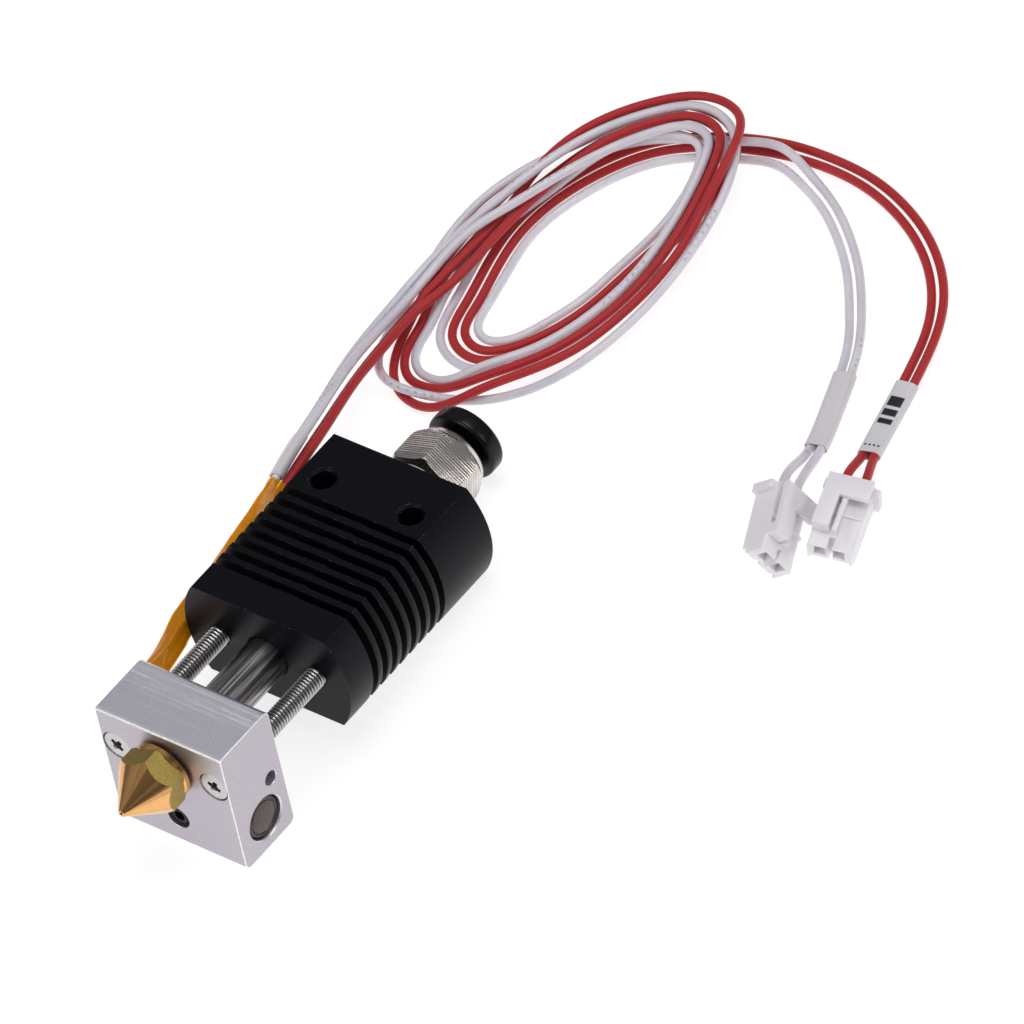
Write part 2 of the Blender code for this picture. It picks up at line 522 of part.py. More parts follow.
def tube(name, points, radius, mat=None, resolution=2, on_axis=False):
    """A solid round tube along points."""
    obj = poly_curve(name, points)
    obj.data.bevel_depth = radius * MM
    obj.data.bevel_resolution = resolution
    obj.data.use_fill_caps = True
    made = add(name, curve_mesh(obj, name), mat, on_axis)
    made.data.shade_smooth()
    return made


def sleeve(name, points, mat, spread, turn, inner, wall):
    """An open sleeve along points, round or widened by spread to both sides and turned about its path."""
    outline = []
    for index in range(TINY_STEPS):
        angle = 2.0 * math.pi * (index + 0.5) / TINY_STEPS
        shift = math.copysign(spread, math.cos(angle))
        u = (inner + wall) * math.cos(angle) + shift
        v = (inner + wall) * math.sin(angle)
        outline.append((u * math.cos(turn) - v * math.sin(turn), u * math.sin(turn) + v * math.cos(turn), 0.0))
    section = poly_curve(f"{name}_section", outline, closed=True)
    bpy.context.scene.collection.objects.link(section)
    obj = poly_curve(name, points)
    obj.data.twist_mode = "Z_UP"
    obj.data.bevel_mode = "OBJECT"
    obj.data.bevel_object = section
    mesh = curve_mesh(obj, name)
    section_curve = section.data
    bpy.data.objects.remove(section, do_unlink=True)
    bpy.data.curves.remove(section_curve)
    made = add(name, mesh, mat, on_axis=False)
    mesh.shade_smooth()
    thick = made.modifiers.new("wall", "SOLIDIFY")
    thick.thickness = wall * MM
    thick.offset = -1.0
    return made


WIRES = (
    ("thermistor_wire_a", WHITE_WIRE), ("thermistor_wire_b", WHITE_WIRE),
    ("heater_wire_a", RED_WIRE), ("heater_wire_b", RED_WIRE),
)
curves = [smooth_curve(wire_route(wire)) for wire in range(len(WIRES))]
for (name, mat), curve in zip(WIRES, curves):
    tube(name, thin_out(curve), WIRE_RADIUS, mat)


def between(first, second, low, high, after):
    """Middle line of two wires while it runs from one y to another, past a share of the wire."""
    start = int(len(first) * after)
    part = first[start:]
    other = second[start:]
    nearest = np.linalg.norm(part[:, None, :] - other[None, :, :], axis=2).argmin(axis=1)
    middle = (part + other[nearest]) / 2.0
    keep = (middle[:, 1] > min(low, high)) & (middle[:, 1] < max(low, high))
    run = middle[keep]
    run = run[:int(np.argmax(np.diff(np.flatnonzero(keep)) > 1)) + 1] if (
        np.diff(np.flatnonzero(keep)) > 1).any() else run
    return run[np.linspace(0, len(run) - 1, 7).astype(int)]


tape_path = smooth_curve([row[:3] for row in PACK], 60)
tape_path = tape_path[(tape_path[:, 1] > -14.0) & (tape_path[:, 1] < 16.6)]
sleeve("kapton_tape", tape_path[np.linspace(0, len(tape_path) - 1, 9).astype(int)], TAPE, 0.0, 0.0, 1.8, 0.15)
sleeve("thermistor_wire_sleeve", between(curves[0], curves[1], 18.6, 24.0, 0.0), WHITE_SLEEVE, 0.72,
       math.radians(47.0), 0.78, 0.2)
sleeve("thermistor_plug_sleeve", between(curves[0], curves[1], 66.9, 55.3, 0.85), WHITE_SLEEVE, 0.75, 0.0, 0.8, 0.2)
sleeve("heater_label_sleeve", between(curves[2], curves[3], 69.0, 56.8, 0.85), WHITE_SLEEVE, 0.75, 0.0, 0.8, 0.2)

# ---------------------------------------------------------------- thermistor bead, leads and splices
bead = turned("thermistor_bead", [(0.0, 4.2)] + [
    (0.58 * math.sin(a * math.pi / 10), 3.0 + 1.2 * math.cos(a * math.pi / 10)) for a in range(1, 10)] + [
    (0.0, 1.8)], GLASS_BEAD, "x", THERMISTOR_AT, TINY_STEPS)
lead_paths = []
for index, spread in enumerate((LEAD_SPREAD, -LEAD_SPREAD)):
    start = laid_point((2.6, THERMISTOR_AT[1], THERMISTOR_AT[2] + spread))
    bend = laid_point((-11.4, THERMISTOR_AT[1], THERMISTOR_AT[2] + spread))
    x, _, z = pack_point(PACK[0], index)
    middle = (-12.9, -20.4, 10.15 + spread)
    wide = smooth_curve((bend, middle, (x, -18.2, z), (x, -16.6, z)), 40)
    lead = np.vstack((np.array(start)[None, :], wide))
    lead_paths.append(wide)
    combine(bead, tube(f"cut_lead_{index}", thin_out(lead, 8.0, 20.0), 0.17, None, 1), "UNION")
    turned(f"thermistor_splice_{'ab'[index]}", (
        (0.47, -15.0), (0.62, -15.0), (0.62, -17.4), (0.47, -17.4)), BRASS, "y", (x, 0.0, z), TINY_STEPS,
        closed=True, on_axis=False)
lead_middle = (lead_paths[0] + lead_paths[1])[:26] / 2.0
sleeve("thermistor_lead_sleeve", lead_middle[[0, 5, 9, 13, 17, 21]], SLEEVING, 0.0, 0.0, 0.8, 0.15)

# ---------------------------------------------------------------- plugs
for kind in PLUGS:
    origin, across, forward, out = plug_frame(kind)
    place = Matrix((across, forward, out)).transposed().to_4x4()
    place.translation = origin * MM
    half = PLUG_HEIGHT / 2

    def plug_box(name, low, high, mat=None):
        """A box in plug coordinates."""
        made = block(name, low, high, mat, on_axis=False)
        made.matrix_world = place
        return made

    housing = plug_box(f"{kind}_plug_housing", (-PLUG_HALF_WIDTH, 0.0, -half),
                       (PLUG_HALF_WIDTH, PLUG_LENGTH, half), NYLON)
    combine(housing, plug_box(f"cut_{kind}_flange", (-FLANGE_HALF_WIDTH, 0.0, -half - 0.1),
                              (FLANGE_HALF_WIDTH, 1.5, half + 0.1)), "UNION")
    combine(housing, plug_box(f"cut_{kind}_notch", (-0.45, 8.6, -half - 1.0), (0.45, 11.5, half + 1.0)))
    for label, x in (("a", CAVITY_PITCH / 2), ("b", -CAVITY_PITCH / 2)):
        combine(housing, plug_box(f"cut_{kind}_cavity_{label}", (x - CAVITY_HALF, -1.0, -CAVITY_HALF),
                                  (x + CAVITY_HALF, 12.0, CAVITY_HALF)))
        combine(housing, plug_box(f"cut_{kind}_window_{label}", (x - 0.5, 2.6, 0.0),
                                  (x + 0.5, 6.4, half + 1.0)))
        contact = plug_box(f"{kind}_plug_contact_{label}", (x - 0.62, 2.6, -0.62), (x + 0.62, 9.2, 0.62), CONTACT)
        combine(contact, plug_box(f"cut_{kind}_socket_{label}", (x - 0.36, 2.0, -0.36),
                                  (x + 0.36, 10.0, 0.36)))
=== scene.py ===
"""Looks of the hotend assembly: camera, wires, detailed pieces, materials and light.

The hot parts are built in millimetres in their own axes, with y along the filament from the nozzle side of
the block to the fitting, and LAID places them on the table as the CAD does. Wires, sleeves, tape and plugs
are built on the table, in table millimetres.
"""
import math

import bmesh
import bpy
import numpy as np
from mathutils import Matrix, Vector


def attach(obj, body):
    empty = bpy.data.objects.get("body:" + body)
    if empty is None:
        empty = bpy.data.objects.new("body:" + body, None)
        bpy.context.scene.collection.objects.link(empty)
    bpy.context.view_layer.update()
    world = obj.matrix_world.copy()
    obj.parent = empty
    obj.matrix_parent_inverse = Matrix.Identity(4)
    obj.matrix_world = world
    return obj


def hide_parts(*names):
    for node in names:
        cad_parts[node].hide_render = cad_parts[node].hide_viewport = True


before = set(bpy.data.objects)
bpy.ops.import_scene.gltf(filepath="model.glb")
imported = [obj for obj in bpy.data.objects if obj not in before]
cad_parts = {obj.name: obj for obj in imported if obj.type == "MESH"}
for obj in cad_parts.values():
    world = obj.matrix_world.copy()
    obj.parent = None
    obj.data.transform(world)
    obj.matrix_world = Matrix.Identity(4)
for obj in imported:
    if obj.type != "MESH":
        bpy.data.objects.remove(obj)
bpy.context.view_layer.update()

MM = 0.001
BODY = "hotend"

# Hot parts, as in the CAD: the block, the heat sink and what is set into them.
BLOCK_HALF_WIDTH = 10.0
BLOCK_LENGTH = 10.0
BLOCK_TOP = 5.8
BLOCK_BOTTOM = -14.2
BLOCK_ROUND = 1.0
FRONT_ROUND = 0.45
CARTRIDGE_AT = (0.0, 5.24, -9.43)
THERMISTOR_AT = (0.0, 7.7, -4.45)
SCREW_X = 7.73
GRUB_Z = -9.3
GRUB_AT = (0.0, 0.0, GRUB_Z)
SINK_START = 21.5
SINK_END = 51.9
SINK_RADIUS = 13.0
SINK_FLAT = 7.5
GROOVES = 8
FIRST_GROOVE = 26.25
GROOVE_PITCH = 2.03
GROOVE_WIDTH = 1.15
GROOVE_CORE = 6.2
MOUNT_HOLE_X = 7.0
MOUNT_HOLE_Y = 44.8

# Resting pose: the block stands on a rounded edge, the heat sink on the far edge of its lower flat.
RUN = SINK_END - (BLOCK_LENGTH - BLOCK_ROUND)
DROP = -(BLOCK_BOTTOM + BLOCK_ROUND) - SINK_FLAT
TILT = math.atan2(DROP, RUN) + math.asin(BLOCK_ROUND / math.hypot(RUN, DROP))
AXIS_HEIGHT = (BLOCK_ROUND + (BLOCK_LENGTH - BLOCK_ROUND) * math.sin(TILT)
               - (BLOCK_BOTTOM + BLOCK_ROUND) * math.cos(TILT))
AXIS_SHIFT = -28.05
LAID = Matrix.Translation((0.0, AXIS_SHIFT * MM, AXIS_HEIGHT * MM)) @ Matrix.Rotation(-TILT, 4, "X")
UPRIGHT = Matrix.Identity(4)

# ---------------------------------------------------------------- camera
CAMERA_AT = Vector((0.8363, -0.60045, 1.24642))
CAMERA_AIM = Vector((0.00841, 0.03125, 0.0))
CAMERA_ROLL = -22.73
LENS = 448.6

camera_data = bpy.data.cameras.new("photo_camera")
camera_data.lens = LENS
camera_data.sensor_width = 36.0
camera_data.clip_start = 0.1
camera_data.clip_end = 20.0
camera = bpy.data.objects.new("photo_camera", camera_data)
bpy.context.scene.collection.objects.link(camera)
aimed = (CAMERA_AIM - CAMERA_AT).to_track_quat("-Z", "Y").to_matrix().to_4x4()
rolled = Matrix.Rotation(math.radians(CAMERA_ROLL), 4, "Z")
camera.matrix_world = Matrix.Translation(CAMERA_AT) @ aimed @ rolled
bpy.context.scene.camera = camera
bpy.context.scene.view_settings.view_transform = "Standard"


# ---------------------------------------------------------------- mesh helpers
AXIS = {"x": Vector((1, 0, 0)), "y": Vector((0, 1, 0)), "z": Vector((0, 0, 1))}
SIDE = {"x": Vector((0, 0, 1)), "y": Vector((1, 0, 0)), "z": Vector((1, 0, 0))}
SPIN_STEPS = 96
BORE_STEPS = 64


def linked(name, mesh):
    """A new object in the scene."""
    obj = bpy.data.objects.new(name, mesh)
    bpy.context.scene.collection.objects.link(obj)
    return obj


def from_bmesh(name, bm):
    """Close a bmesh into a linked object, millimetres to metres."""
    bmesh.ops.remove_doubles(bm, verts=bm.verts, dist=0.0005)
    bmesh.ops.recalc_face_normals(bm, faces=bm.faces)
    mesh = bpy.data.meshes.new(name)
    bm.to_mesh(mesh)
    bm.free()
    mesh.transform(Matrix.Scale(MM, 4))
    return linked(name, mesh)


def spun(profile, axis="y", at=(0.0, 0.0, 0.0), steps=SPIN_STEPS, closed=False):
    """Turn a profile of (radius, height) points about an axis through a point."""
    bm = bmesh.new()
    centre = Vector(at)
    verts = [bm.verts.new(centre + SIDE[axis] * radius + AXIS[axis] * height) for radius, height in profile]
    edges = [bm.edges.new(pair) for pair in zip(verts, verts[1:])]
    if closed:
        edges.append(bm.edges.new((verts[-1], verts[0])))
    bmesh.ops.spin(bm, geom=verts + edges, cent=centre, axis=AXIS[axis], angle=2.0 * math.pi, steps=steps,
                   use_merge=True)
    return from_bmesh("spun", bm)


def rod(radius, start, end, at=(0.0, 0.0, 0.0)):
    """A round bar along y for cutting."""
    return spun(((0.0, end), (radius, end), (radius, start), (0.0, start)), "y", at, BORE_STEPS)


def box(low, high, round_along=None, radius=0.0, segments=6, crisp=None):
    """A box with its edges along one axis rounded; crisp is a smaller round for the front top edge."""
    low = Vector(low)
    high = Vector(high)
    bm = bmesh.new()
    bmesh.ops.create_cube(bm, size=1.0, matrix=Matrix.LocRotScale((low + high) / 2, None, high - low))

    def bevel(edges, offset):
        bmesh.ops.bevel(bm, geom=edges, offset=offset, segments=segments, profile=0.5, affect="EDGES")

    def front_top(edge):
        return all(v.co.y < low.y + 0.01 and v.co.z > high.z - 0.01 for v in edge.verts)

    if round_along:
        way = AXIS[round_along]
        edges = [e for e in bm.edges if abs((e.verts[0].co - e.verts[1].co).normalized().dot(way)) > 0.9]
        bevel([e for e in edges if not (crisp and front_top(e))], radius)
    if crisp:
        bevel([e for e in bm.edges if front_top(e)], crisp)
    return from_bmesh("box", bm)


def hexagon(across, start, end, turn, at=(0.0, 0.0, 0.0)):
    """A hexagonal bar along y with a corner at an angle from +x towards +z."""
    corner = across / math.sqrt(3.0)
    angles = [math.radians(turn + 60 * k) for k in range(6)]
    bm = bmesh.new()
    low, high = [[bm.verts.new((at[0] + corner * math.cos(angle), height, at[2] + corner * math.sin(angle)))
                  for angle in angles] for height in (start, end)]
    bm.faces.new(low)
    bm.faces.new(high)
    for k in range(6):
        n = (k + 1) % 6
        bm.faces.new((low[k], low[n], high[n], high[k]))
    return from_bmesh("hexagon", bm)


def cut(obj, tool, operation="DIFFERENCE"):
    """Apply one exact boolean and drop its tool."""
    boolean = obj.modifiers.new("cut", "BOOLEAN")
    boolean.operation = operation
    boolean.solver = "EXACT"
    boolean.object = tool
    apply_all(obj)
    drop(tool)
    return obj


def apply_all(obj):
    """Put an object's modifiers into its mesh."""
    made = bpy.data.meshes.new_from_object(obj.evaluated_get(bpy.context.evaluated_depsgraph_get()))
    old = obj.data
    obj.modifiers.clear()
    obj.data = made
    bpy.data.meshes.remove(old)


def drop(obj):
    """Remove a helper object with its data."""
    data = obj.data
    bpy.data.objects.remove(obj, do_unlink=True)
    if isinstance(data, bpy.types.Mesh):
        bpy.data.meshes.remove(data)
    else:
        bpy.data.curves.remove(data)


def eased(obj, width, angle=40.0, worn=None):
    """Round the sharp edges by a small width; worn is the material slot of the new faces, which on the block
    holds a painted highlight and on the heat sink wear with a painted highlight.
    """
    bevel = obj.modifiers.new("ease", "BEVEL")
    bevel.width = width * MM
    bevel.segments = 2
    bevel.limit_method = "ANGLE"
    bevel.angle_limit = math.radians(angle)
    bevel.use_clamp_overlap = True
    if worn is not None:
        bevel.material = worn
    apply_all(obj)
    return obj


def piece(obj, name, mats, nodes=(), body=BODY, place=LAID, sharp=32.0, weighted=False):
    """Finish a piece: name, materials, shading, place, body and the CAD nodes it stands for."""
    obj.name = name
    obj.data.name = name
    wanted = mats if isinstance(mats, (list, tuple)) else (mats,)
    for index, mat in enumerate(wanted):
        if index < len(obj.data.materials):
            obj.data.materials[index] = mat
        else:
            obj.data.materials.append(mat)
    obj.data.shade_smooth()
    obj.data.set_sharp_from_angle(angle=math.radians(sharp))
    if weighted:
        weigh = obj.modifiers.new("weigh", "WEIGHTED_NORMAL")
        weigh.keep_sharp = True
        weigh.weight = 100
        apply_all(obj)
        obj.data.name = name
    obj.matrix_world = place
    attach(obj, body)
    if nodes:
        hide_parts(*nodes)
    return obj


def run_along(line):
    """Distance from the start at each point of a line."""
    return np.concatenate(([0.0], np.cumsum(np.linalg.norm(np.diff(line, axis=0), axis=1))))


def directions(line):
    """Unit direction of travel at each point of a line."""
    along = np.gradient(line, axis=0)
    return along / np.linalg.norm(along, axis=1)[:, None]


def path_frames(path, level=False):
    """Points, tangents and two sides along a path; the sides turn least, or the first stays level."""
    line = np.asarray(path, dtype=float)
    along = directions(line)
    up = np.array((0.0, 0.0, 1.0))
    if level:
        sides = np.cross(along, up)
        sides /= np.linalg.norm(sides, axis=1)[:, None]
        return line, along, sides, np.cross(sides, along)
    side = np.cross(along[0], up)
    side /= np.linalg.norm(side)
    sides = [side]
    for here in along[1:]:
        side = sides[-1] - here * float(np.dot(sides[-1], here))
        sides.append(side / np.linalg.norm(side))
    sides = np.array(sides)
    return line, along, sides, np.cross(sides, along)


def tube(name, rings, run, closed=False):
    """Faces between rings of points, turns and millimetres as UV; closed joins the last ring to the first."""
    bm = bmesh.new()
    uv = bm.loops.layers.uv.new("UVMap")
    verts = [[bm.verts.new(point) for point in ring] for ring in rings]
    count = len(verts[0])
    for a in range(len(verts) if closed else len(verts) - 1):
        b = (a + 1) % len(verts)
        for k in range(count):
            n = (k + 1) % count
            face = bm.faces.new((verts[a][k], verts[a][n], verts[b][n], verts[b][k]))
            for loop, (ring, around) in zip(face.loops, ((a, k), (a, k + 1), (b, k + 1), (b, k))):
                loop[uv].uv = (around / count, run[ring])
    if not closed:
        bm.faces.new(verts[0])
        bm.faces.new(verts[-1])
    return from_bmesh(name, bm)


def round_bar(name, path, radius, count=20):
    """A solid round tube along a path."""
    line, _, sides, tops = path_frames(path)
    angles = [2.0 * math.pi * k / count for k in range(count)]
    rings = [[centre + radius * (math.cos(a) * side + math.sin(a) * top) for a in angles]
             for centre, side, top in zip(line, sides, tops)]
    return tube(name, rings, run_along(line))


# ---------------------------------------------------------------- wire routes, as in the CAD
WIRE_RADIUS = 0.6
SLEEVE_POINTS = 7
LAYER_BASE = 0.66
LAYER_PITCH = 1.45
PACK_RADIUS = 0.99
PACK_PHASE = (180.0, 90.0, -90.0, 0.0)
# Beside the heat sink: centre of the 2 x 2 pack, its turn in degrees and how far the red pair stands off.
PACK = (
    (-14.1, -12.0, 9.6, 180.0, 0.0), (-15.3, -5.0, 9.3, 145.0, 0.0), (-15.4, 2.0, 9.2, 95.0, 0.0),
    (-15.4, 9.0, 9.5, 50.0, 0.0), (-15.5, 15.0, 10.3, 15.0, 0.0), (-16.1, 21.0, 10.8, 0.0, 0.4),
    (-17.2, 28.0, 10.0, 0.0, 0.5),
)
# The coil: centre line x, y, then for each wire its layer in its usual lane, or another lane and the layer.
# Lanes are sideways shifts from the centre line, plus being the outer side of the loops.
USUAL_LANE = (2.4, -2.4, 0.8, -0.8)
COIL = (
    (-19.3, 36.5, (1.5, 5.6), (0.3, 6.3), (-0.2, 4.7), (-1.2, 5.5)),
    (-21.2, 44.0, (1.7, 3.7), (0.3, 4.2), (-0.4, 2.9), (-1.6, 3.7)),
    (-21.4, 51.0, (1.7, 3.1), (0.2, 3.4), (-0.4, 2.3), (-1.8, 3.1)),
    (-20.4, 57.0, 3.0, (0.8, 3.4), (-0.7, 3.0), (-2.4, 3.0)),
    (-19.0, 63.5, (2.3, 3.4), (0.6, 4.1), (-0.3, 3.0), (-1.9, 3.0)),
    (-17.2, 70.0, (1.7, 4.1), (-0.4, 4.1), (0.9, 3.0), (-0.9, 3.0)),
    (-15.0, 77.2, (1.1, 4.5), (-1.7, 4.2), (2.3, 3.8), (-0.6, 3.3)),
    (-11.6, 84.2, (0.8, 4.5), 4.2, (2.4, 4.4), 4.1),
    (-7.2, 89.6, (0.8, 4.2), 4.1, (2.4, 4.2), 4.1),
    (-2.0, 92.6, (0.8, 4.2), 4.1, (2.4, 4.3), 4.1),
    (2.6, 91.5, (0.9, 4.1), 4.1, (2.4, 4.8), 4.1),
    (4.9, 87.5, (1.7, 4.0), 4.0, (1.6, 5.1), 4.0),
    (5.7, 81.5, 3.3, 3.3, 3.7, 3.3),
    (5.9, 75.0, 2.6, 2.6, 2.6, 2.6),
    (5.4, 68.5, 2.1, 2.1, 2.1, 2.1),
    (4.2, 62.0, 1.8, 2.1, 2.1, 2.1),
    (2.0, 56.0, 1.4, 2.1, 2.0, 2.1),
    (-1.6, 50.4, 1.0, 2.1, 2.1, 2.1),
    (-6.4, 45.6, (1.9, 1.0), (-2.2, 2.0), (1.6, 2.2), 1.8),
    (-11.6, 42.6, (1.0, 1.35), (-1.95, 1.0), (2.6, 1.2), (-0.65, 1.0)),
    (-16.6, 42.4, (2.0, 2.4), 1.0, (1.2, 1.0), 1.0),
    (-19.8, 45.6, (2.3, 1.5), 1.0, (0.3, 1.0), (-1.0, 1.0)),
    (-20.9, 50.5, 1.0, (-2.5, 1.1), (0.5, 1.0), (-1.1, 1.0)),
    (-21.3, 56.0, 1.3, 1.9, 1.5, 1.7),
    (-21.1, 62.0, 2.2, 2.1, 2.0, 2.1),
    (-20.2, 69.0, (2.3, 2.7), 2.0, (1.1, 2.0), 2.0),
    (-17.6, 76.5, (1.5, 3.05), 2.0, (2.0, 2.1), 2.15),
    (-14.2, 83.2, (0.8, 2.9), 2.8, (2.4, 2.7), 2.8),
    (-9.6, 88.8, (0.8, 3.0), 3.0, (2.4, 3.0), 3.0),
    (-4.0, 91.6, (0.8, 3.0), 3.0, (2.4, 3.0), 3.0),
    (0.8, 91.0, (0.8, 3.0), 3.0, (2.4, 3.0), 3.0),
    (3.6, 87.6, (0.8, 2.6), 3.0, (2.4, 3.1), 3.0),
    (4.4, 81.5, (1.7, 1.4), 2.2, (1.6, 2.5), 2.2),
    (3.4, 75.0, 1.0, 1.4, 1.6, 1.4),
    (1.6, 68.5, 1.0, 1.0, 1.0, 1.0),
    (0.0, 62.0, 1.0, 1.0, 1.0, 1.0),
    (-2.6, 56.4, 1.0, 1.0, 1.0, 1.0),
    (-6.2, 52.0, 1.0, (-2.1, 1.0), 1.0, (-0.75, 1.0)),
    (-10.4, 50.2, (2.6, 1.0), (-2.3, 1.0), (1.0, 1.0), (-0.6, 1.0)),
    (-13.9, 51.8, (2.8, 1.0), (-2.3, 1.0), (1.2, 1.0), (-0.5, 1.0)),
    (-15.4, 56.4, (2.5, 1.0), (-2.1, 1.0), (0.9, 1.0), (-0.7, 1.0)),
    (-16.4, 62.0, 1.0, 1.0, 1.0, 1.0),
    (-16.9, 69.0, 1.0, 1.0, 1.0, 1.0),
    (-15.2, 76.0, 1.3, 1.0, (0.9, 1.0), (-0.7, 1.0)),
    (-12.0, 82.0, (1.8, 1.8), (-2.3, 1.0), (1.1, 1.0), (-0.6, 1.0)),
    (-7.6, 87.0, (0.6, 2.1), (-2.1, 1.0), (1.3, 1.0), (-0.4, 1.0)),
    (-2.6, 90.2, (-0.2, 2.1), (-2.0, 1.0), (1.4, 1.0), (-0.3, 1.0)),
    (3.0, 92.4, (-0.3, 2.1), (-2.0, 1.0), (1.5, 1.0), (-0.3, 1.0)),
)
# The tails to the plugs: centre line of the pair, half the spacing, layer of the first and second wire.
WHITE_TAIL = (
    (9.4, 92.8, 0.9, 2.1, 1.0), (14.4, 91.4, 0.8, 1.5, 1.0), (19.2, 89.2, 0.8, 1.0, 1.0),
    (24.0, 85.8, 0.8, 1.0, 1.0), (28.4, 81.6, 0.8, 1.0, 1.0), (32.2, 76.6, 0.8, 1.0, 1.0),
    (35.4, 71.4, 0.75, 1.1, 1.1), (37.5, 66.0, 0.75, 1.3, 1.3), (39.1, 60.4, 0.75, 1.3, 1.3),
    (40.5, 54.8, 0.75, 1.5, 1.5),
)
RED_TAIL = (
    (9.6, 94.6, 0.9, 1.0, 1.0), (15.6, 95.0, 0.8, 1.0, 1.0), (21.8, 94.5, 0.8, 1.0, 1.0),
    (27.8, 92.8, 0.8, 1.0, 1.0), (33.4, 90.0, 0.8, 1.0, 1.0), (38.0, 86.4, 0.8, 1.0, 1.0),
    (41.4, 82.2, 0.8, 1.0, 1.0), (43.6, 77.6, 0.75, 1.1, 1.1), (45.0, 72.6, 0.75, 1.3, 1.3),
    (46.1, 66.0, 0.75, 1.3, 1.3), (47.0, 60.6, 0.75, 1.5, 1.5), (47.9, 56.6, 0.85, 1.9, 1.9),
)
# Plugs: centre of the wire end, direction to the mating end, roll about it in degrees.
PLUG_LENGTH = 10.5
PLUG_HALF_WIDTH = 2.95
PLUG_HEIGHT = 5.5
FLANGE_HALF_WIDTH = 3.7
CAVITY_PITCH = 2.5
WIRE_DEPTH = 2.2
PLUGS = {
    "thermistor": ((43.3, 46.0), (0.38, -0.925), 66.0),
    "heater": ((49.8, 51.2), (0.28, -0.96), 12.0),
}


def laid_point(point):
    """A point of the hot parts in table millimetres."""
    x, y, z = point
    return (x, y * math.cos(TILT) + z * math.sin(TILT) + AXIS_SHIFT,
            -y * math.sin(TILT) + z * math.cos(TILT) + AXIS_HEIGHT)


def plug_frame(kind):
    """Origin and axes of a plug, x across its two cavities, y to its mating end, z out of its window side."""
    (x, y), direction, roll = PLUGS[kind]
    roll = math.radians(roll)
    forward = Vector((*direction, 0.0)).normalized()
    side = Vector((forward.y, -forward.x, 0.0))
    across = side * math.cos(roll) + Vector((0.0, 0.0, math.sin(roll)))
    out = across.cross(forward)
    half = PLUG_HEIGHT / 2 + 0.1
    height = FLANGE_HALF_WIDTH * math.sin(roll) + half * math.cos(roll) + 0.05
    return Vector((x, y, height)), across, forward, out


def flat_normals(centres):
    """Left-hand normal of a flat centre line at each of its points."""
    along = directions(np.array(centres, dtype=float))
    return np.stack((-along[:, 1], along[:, 0]), axis=1)


def layer_height(layer):
    """Height of a wire centre in a layer of the coil."""
    return LAYER_BASE + (layer - 1.0) * LAYER_PITCH


def pack_point(station, wire):
    """Centre of one wire in the 2 x 2 pack."""
    x, y, z, turn, apart = station
    angle = math.radians(PACK_PHASE[wire] + turn)
    shift = apart * math.sqrt(0.5) if wire >= 2 else 0.0
    return (x + PACK_RADIUS * math.cos(angle) + shift, y, z + PACK_RADIUS * math.sin(angle) - shift)


# Where the thermistor wires leave their splices.
SPLICE_END = -14.7
# Heater leads from the cartridge, round the block and up to the pack.
HEATER_LEADS = (
    ((-10.9, -24.33, 6.05), (-12.3, -24.1, 6.3), (-13.9, -22.9, 7.2), (-14.9, -20.0, 9.2),
     (-14.8, -16.0, 10.4)),
    ((-10.9, -24.33, 4.55), (-13.0, -24.1, 4.6), (-15.4, -22.2, 5.7), (-16.3, -19.2, 7.4),
     (-15.7, -15.6, 8.9)),
)


def wire_route(wire):
    """Listed route points of one wire from the block to its plug."""
    heater = wire >= 2
    if heater:
        points = list(HEATER_LEADS[wire - 2])
    else:
        x, _, z = pack_point(PACK[0], wire)
        points = [(x, SPLICE_END, z)]
    points += [pack_point(station, wire) for station in PACK]
    for row, normal in zip(COIL, flat_normals([row[:2] for row in COIL])):
        spot = row[2 + wire]
        lane, layer = spot if isinstance(spot, tuple) else (USUAL_LANE[wire], spot)
        points.append((row[0] + normal[0] * lane, row[1] + normal[1] * lane, layer_height(layer)))
    tail = RED_TAIL if heater else WHITE_TAIL
    normals = flat_normals([COIL[-1][:2]] + [row[:2] for row in tail])[1:]
    second = wire % 2
    side = -1.0 if second else 1.0
    for row, normal in zip(tail, normals):
        lane = row[2] * side
        points.append((row[0] + normal[0] * lane, row[1] + normal[1] * lane, layer_height(row[3 + second])))
    origin, across, forward, _ = plug_frame("heater" if heater else "thermistor")
    cavity = origin - across * (CAVITY_PITCH / 2 * side)
    points.append(tuple(cavity - forward * 1.6))
    points.append(tuple(cavity + forward * WIRE_DEPTH))
    return points


def smooth_curve(points, samples=1500):
    """Dense natural cubic curve through the points, spaced by chord length."""
    knots = np.array(points, dtype=float)
    chord = np.linalg.norm(np.diff(knots, axis=0), axis=1)
    place = run_along(knots)
    size = len(knots)
    system = np.eye(size)
    target = np.zeros((size, 3))
    for i in range(1, size - 1):
        system[i, i - 1:i + 2] = (chord[i - 1], 2.0 * (chord[i - 1] + chord[i]), chord[i])
        target[i] = 6.0 * ((knots[i + 1] - knots[i]) / chord[i] - (knots[i] - knots[i - 1]) / chord[i - 1])
    bend = np.linalg.solve(system, target)
    at = np.linspace(0.0, place[-1], samples)
    i = np.clip(np.searchsorted(place, at) - 1, 0, size - 2)
    step = chord[i]
    a = ((place[i + 1] - at) / step)[:, None]
    b = 1.0 - a
    curve = a * knots[i] + b * knots[i + 1]
    curve += ((a ** 3 - a) * bend[i] + (b ** 3 - b) * bend[i + 1]) * (step ** 2)[:, None] / 6.0
    curve[:, 2] = np.maximum(curve[:, 2], WIRE_RADIUS + 0.02)
    return curve


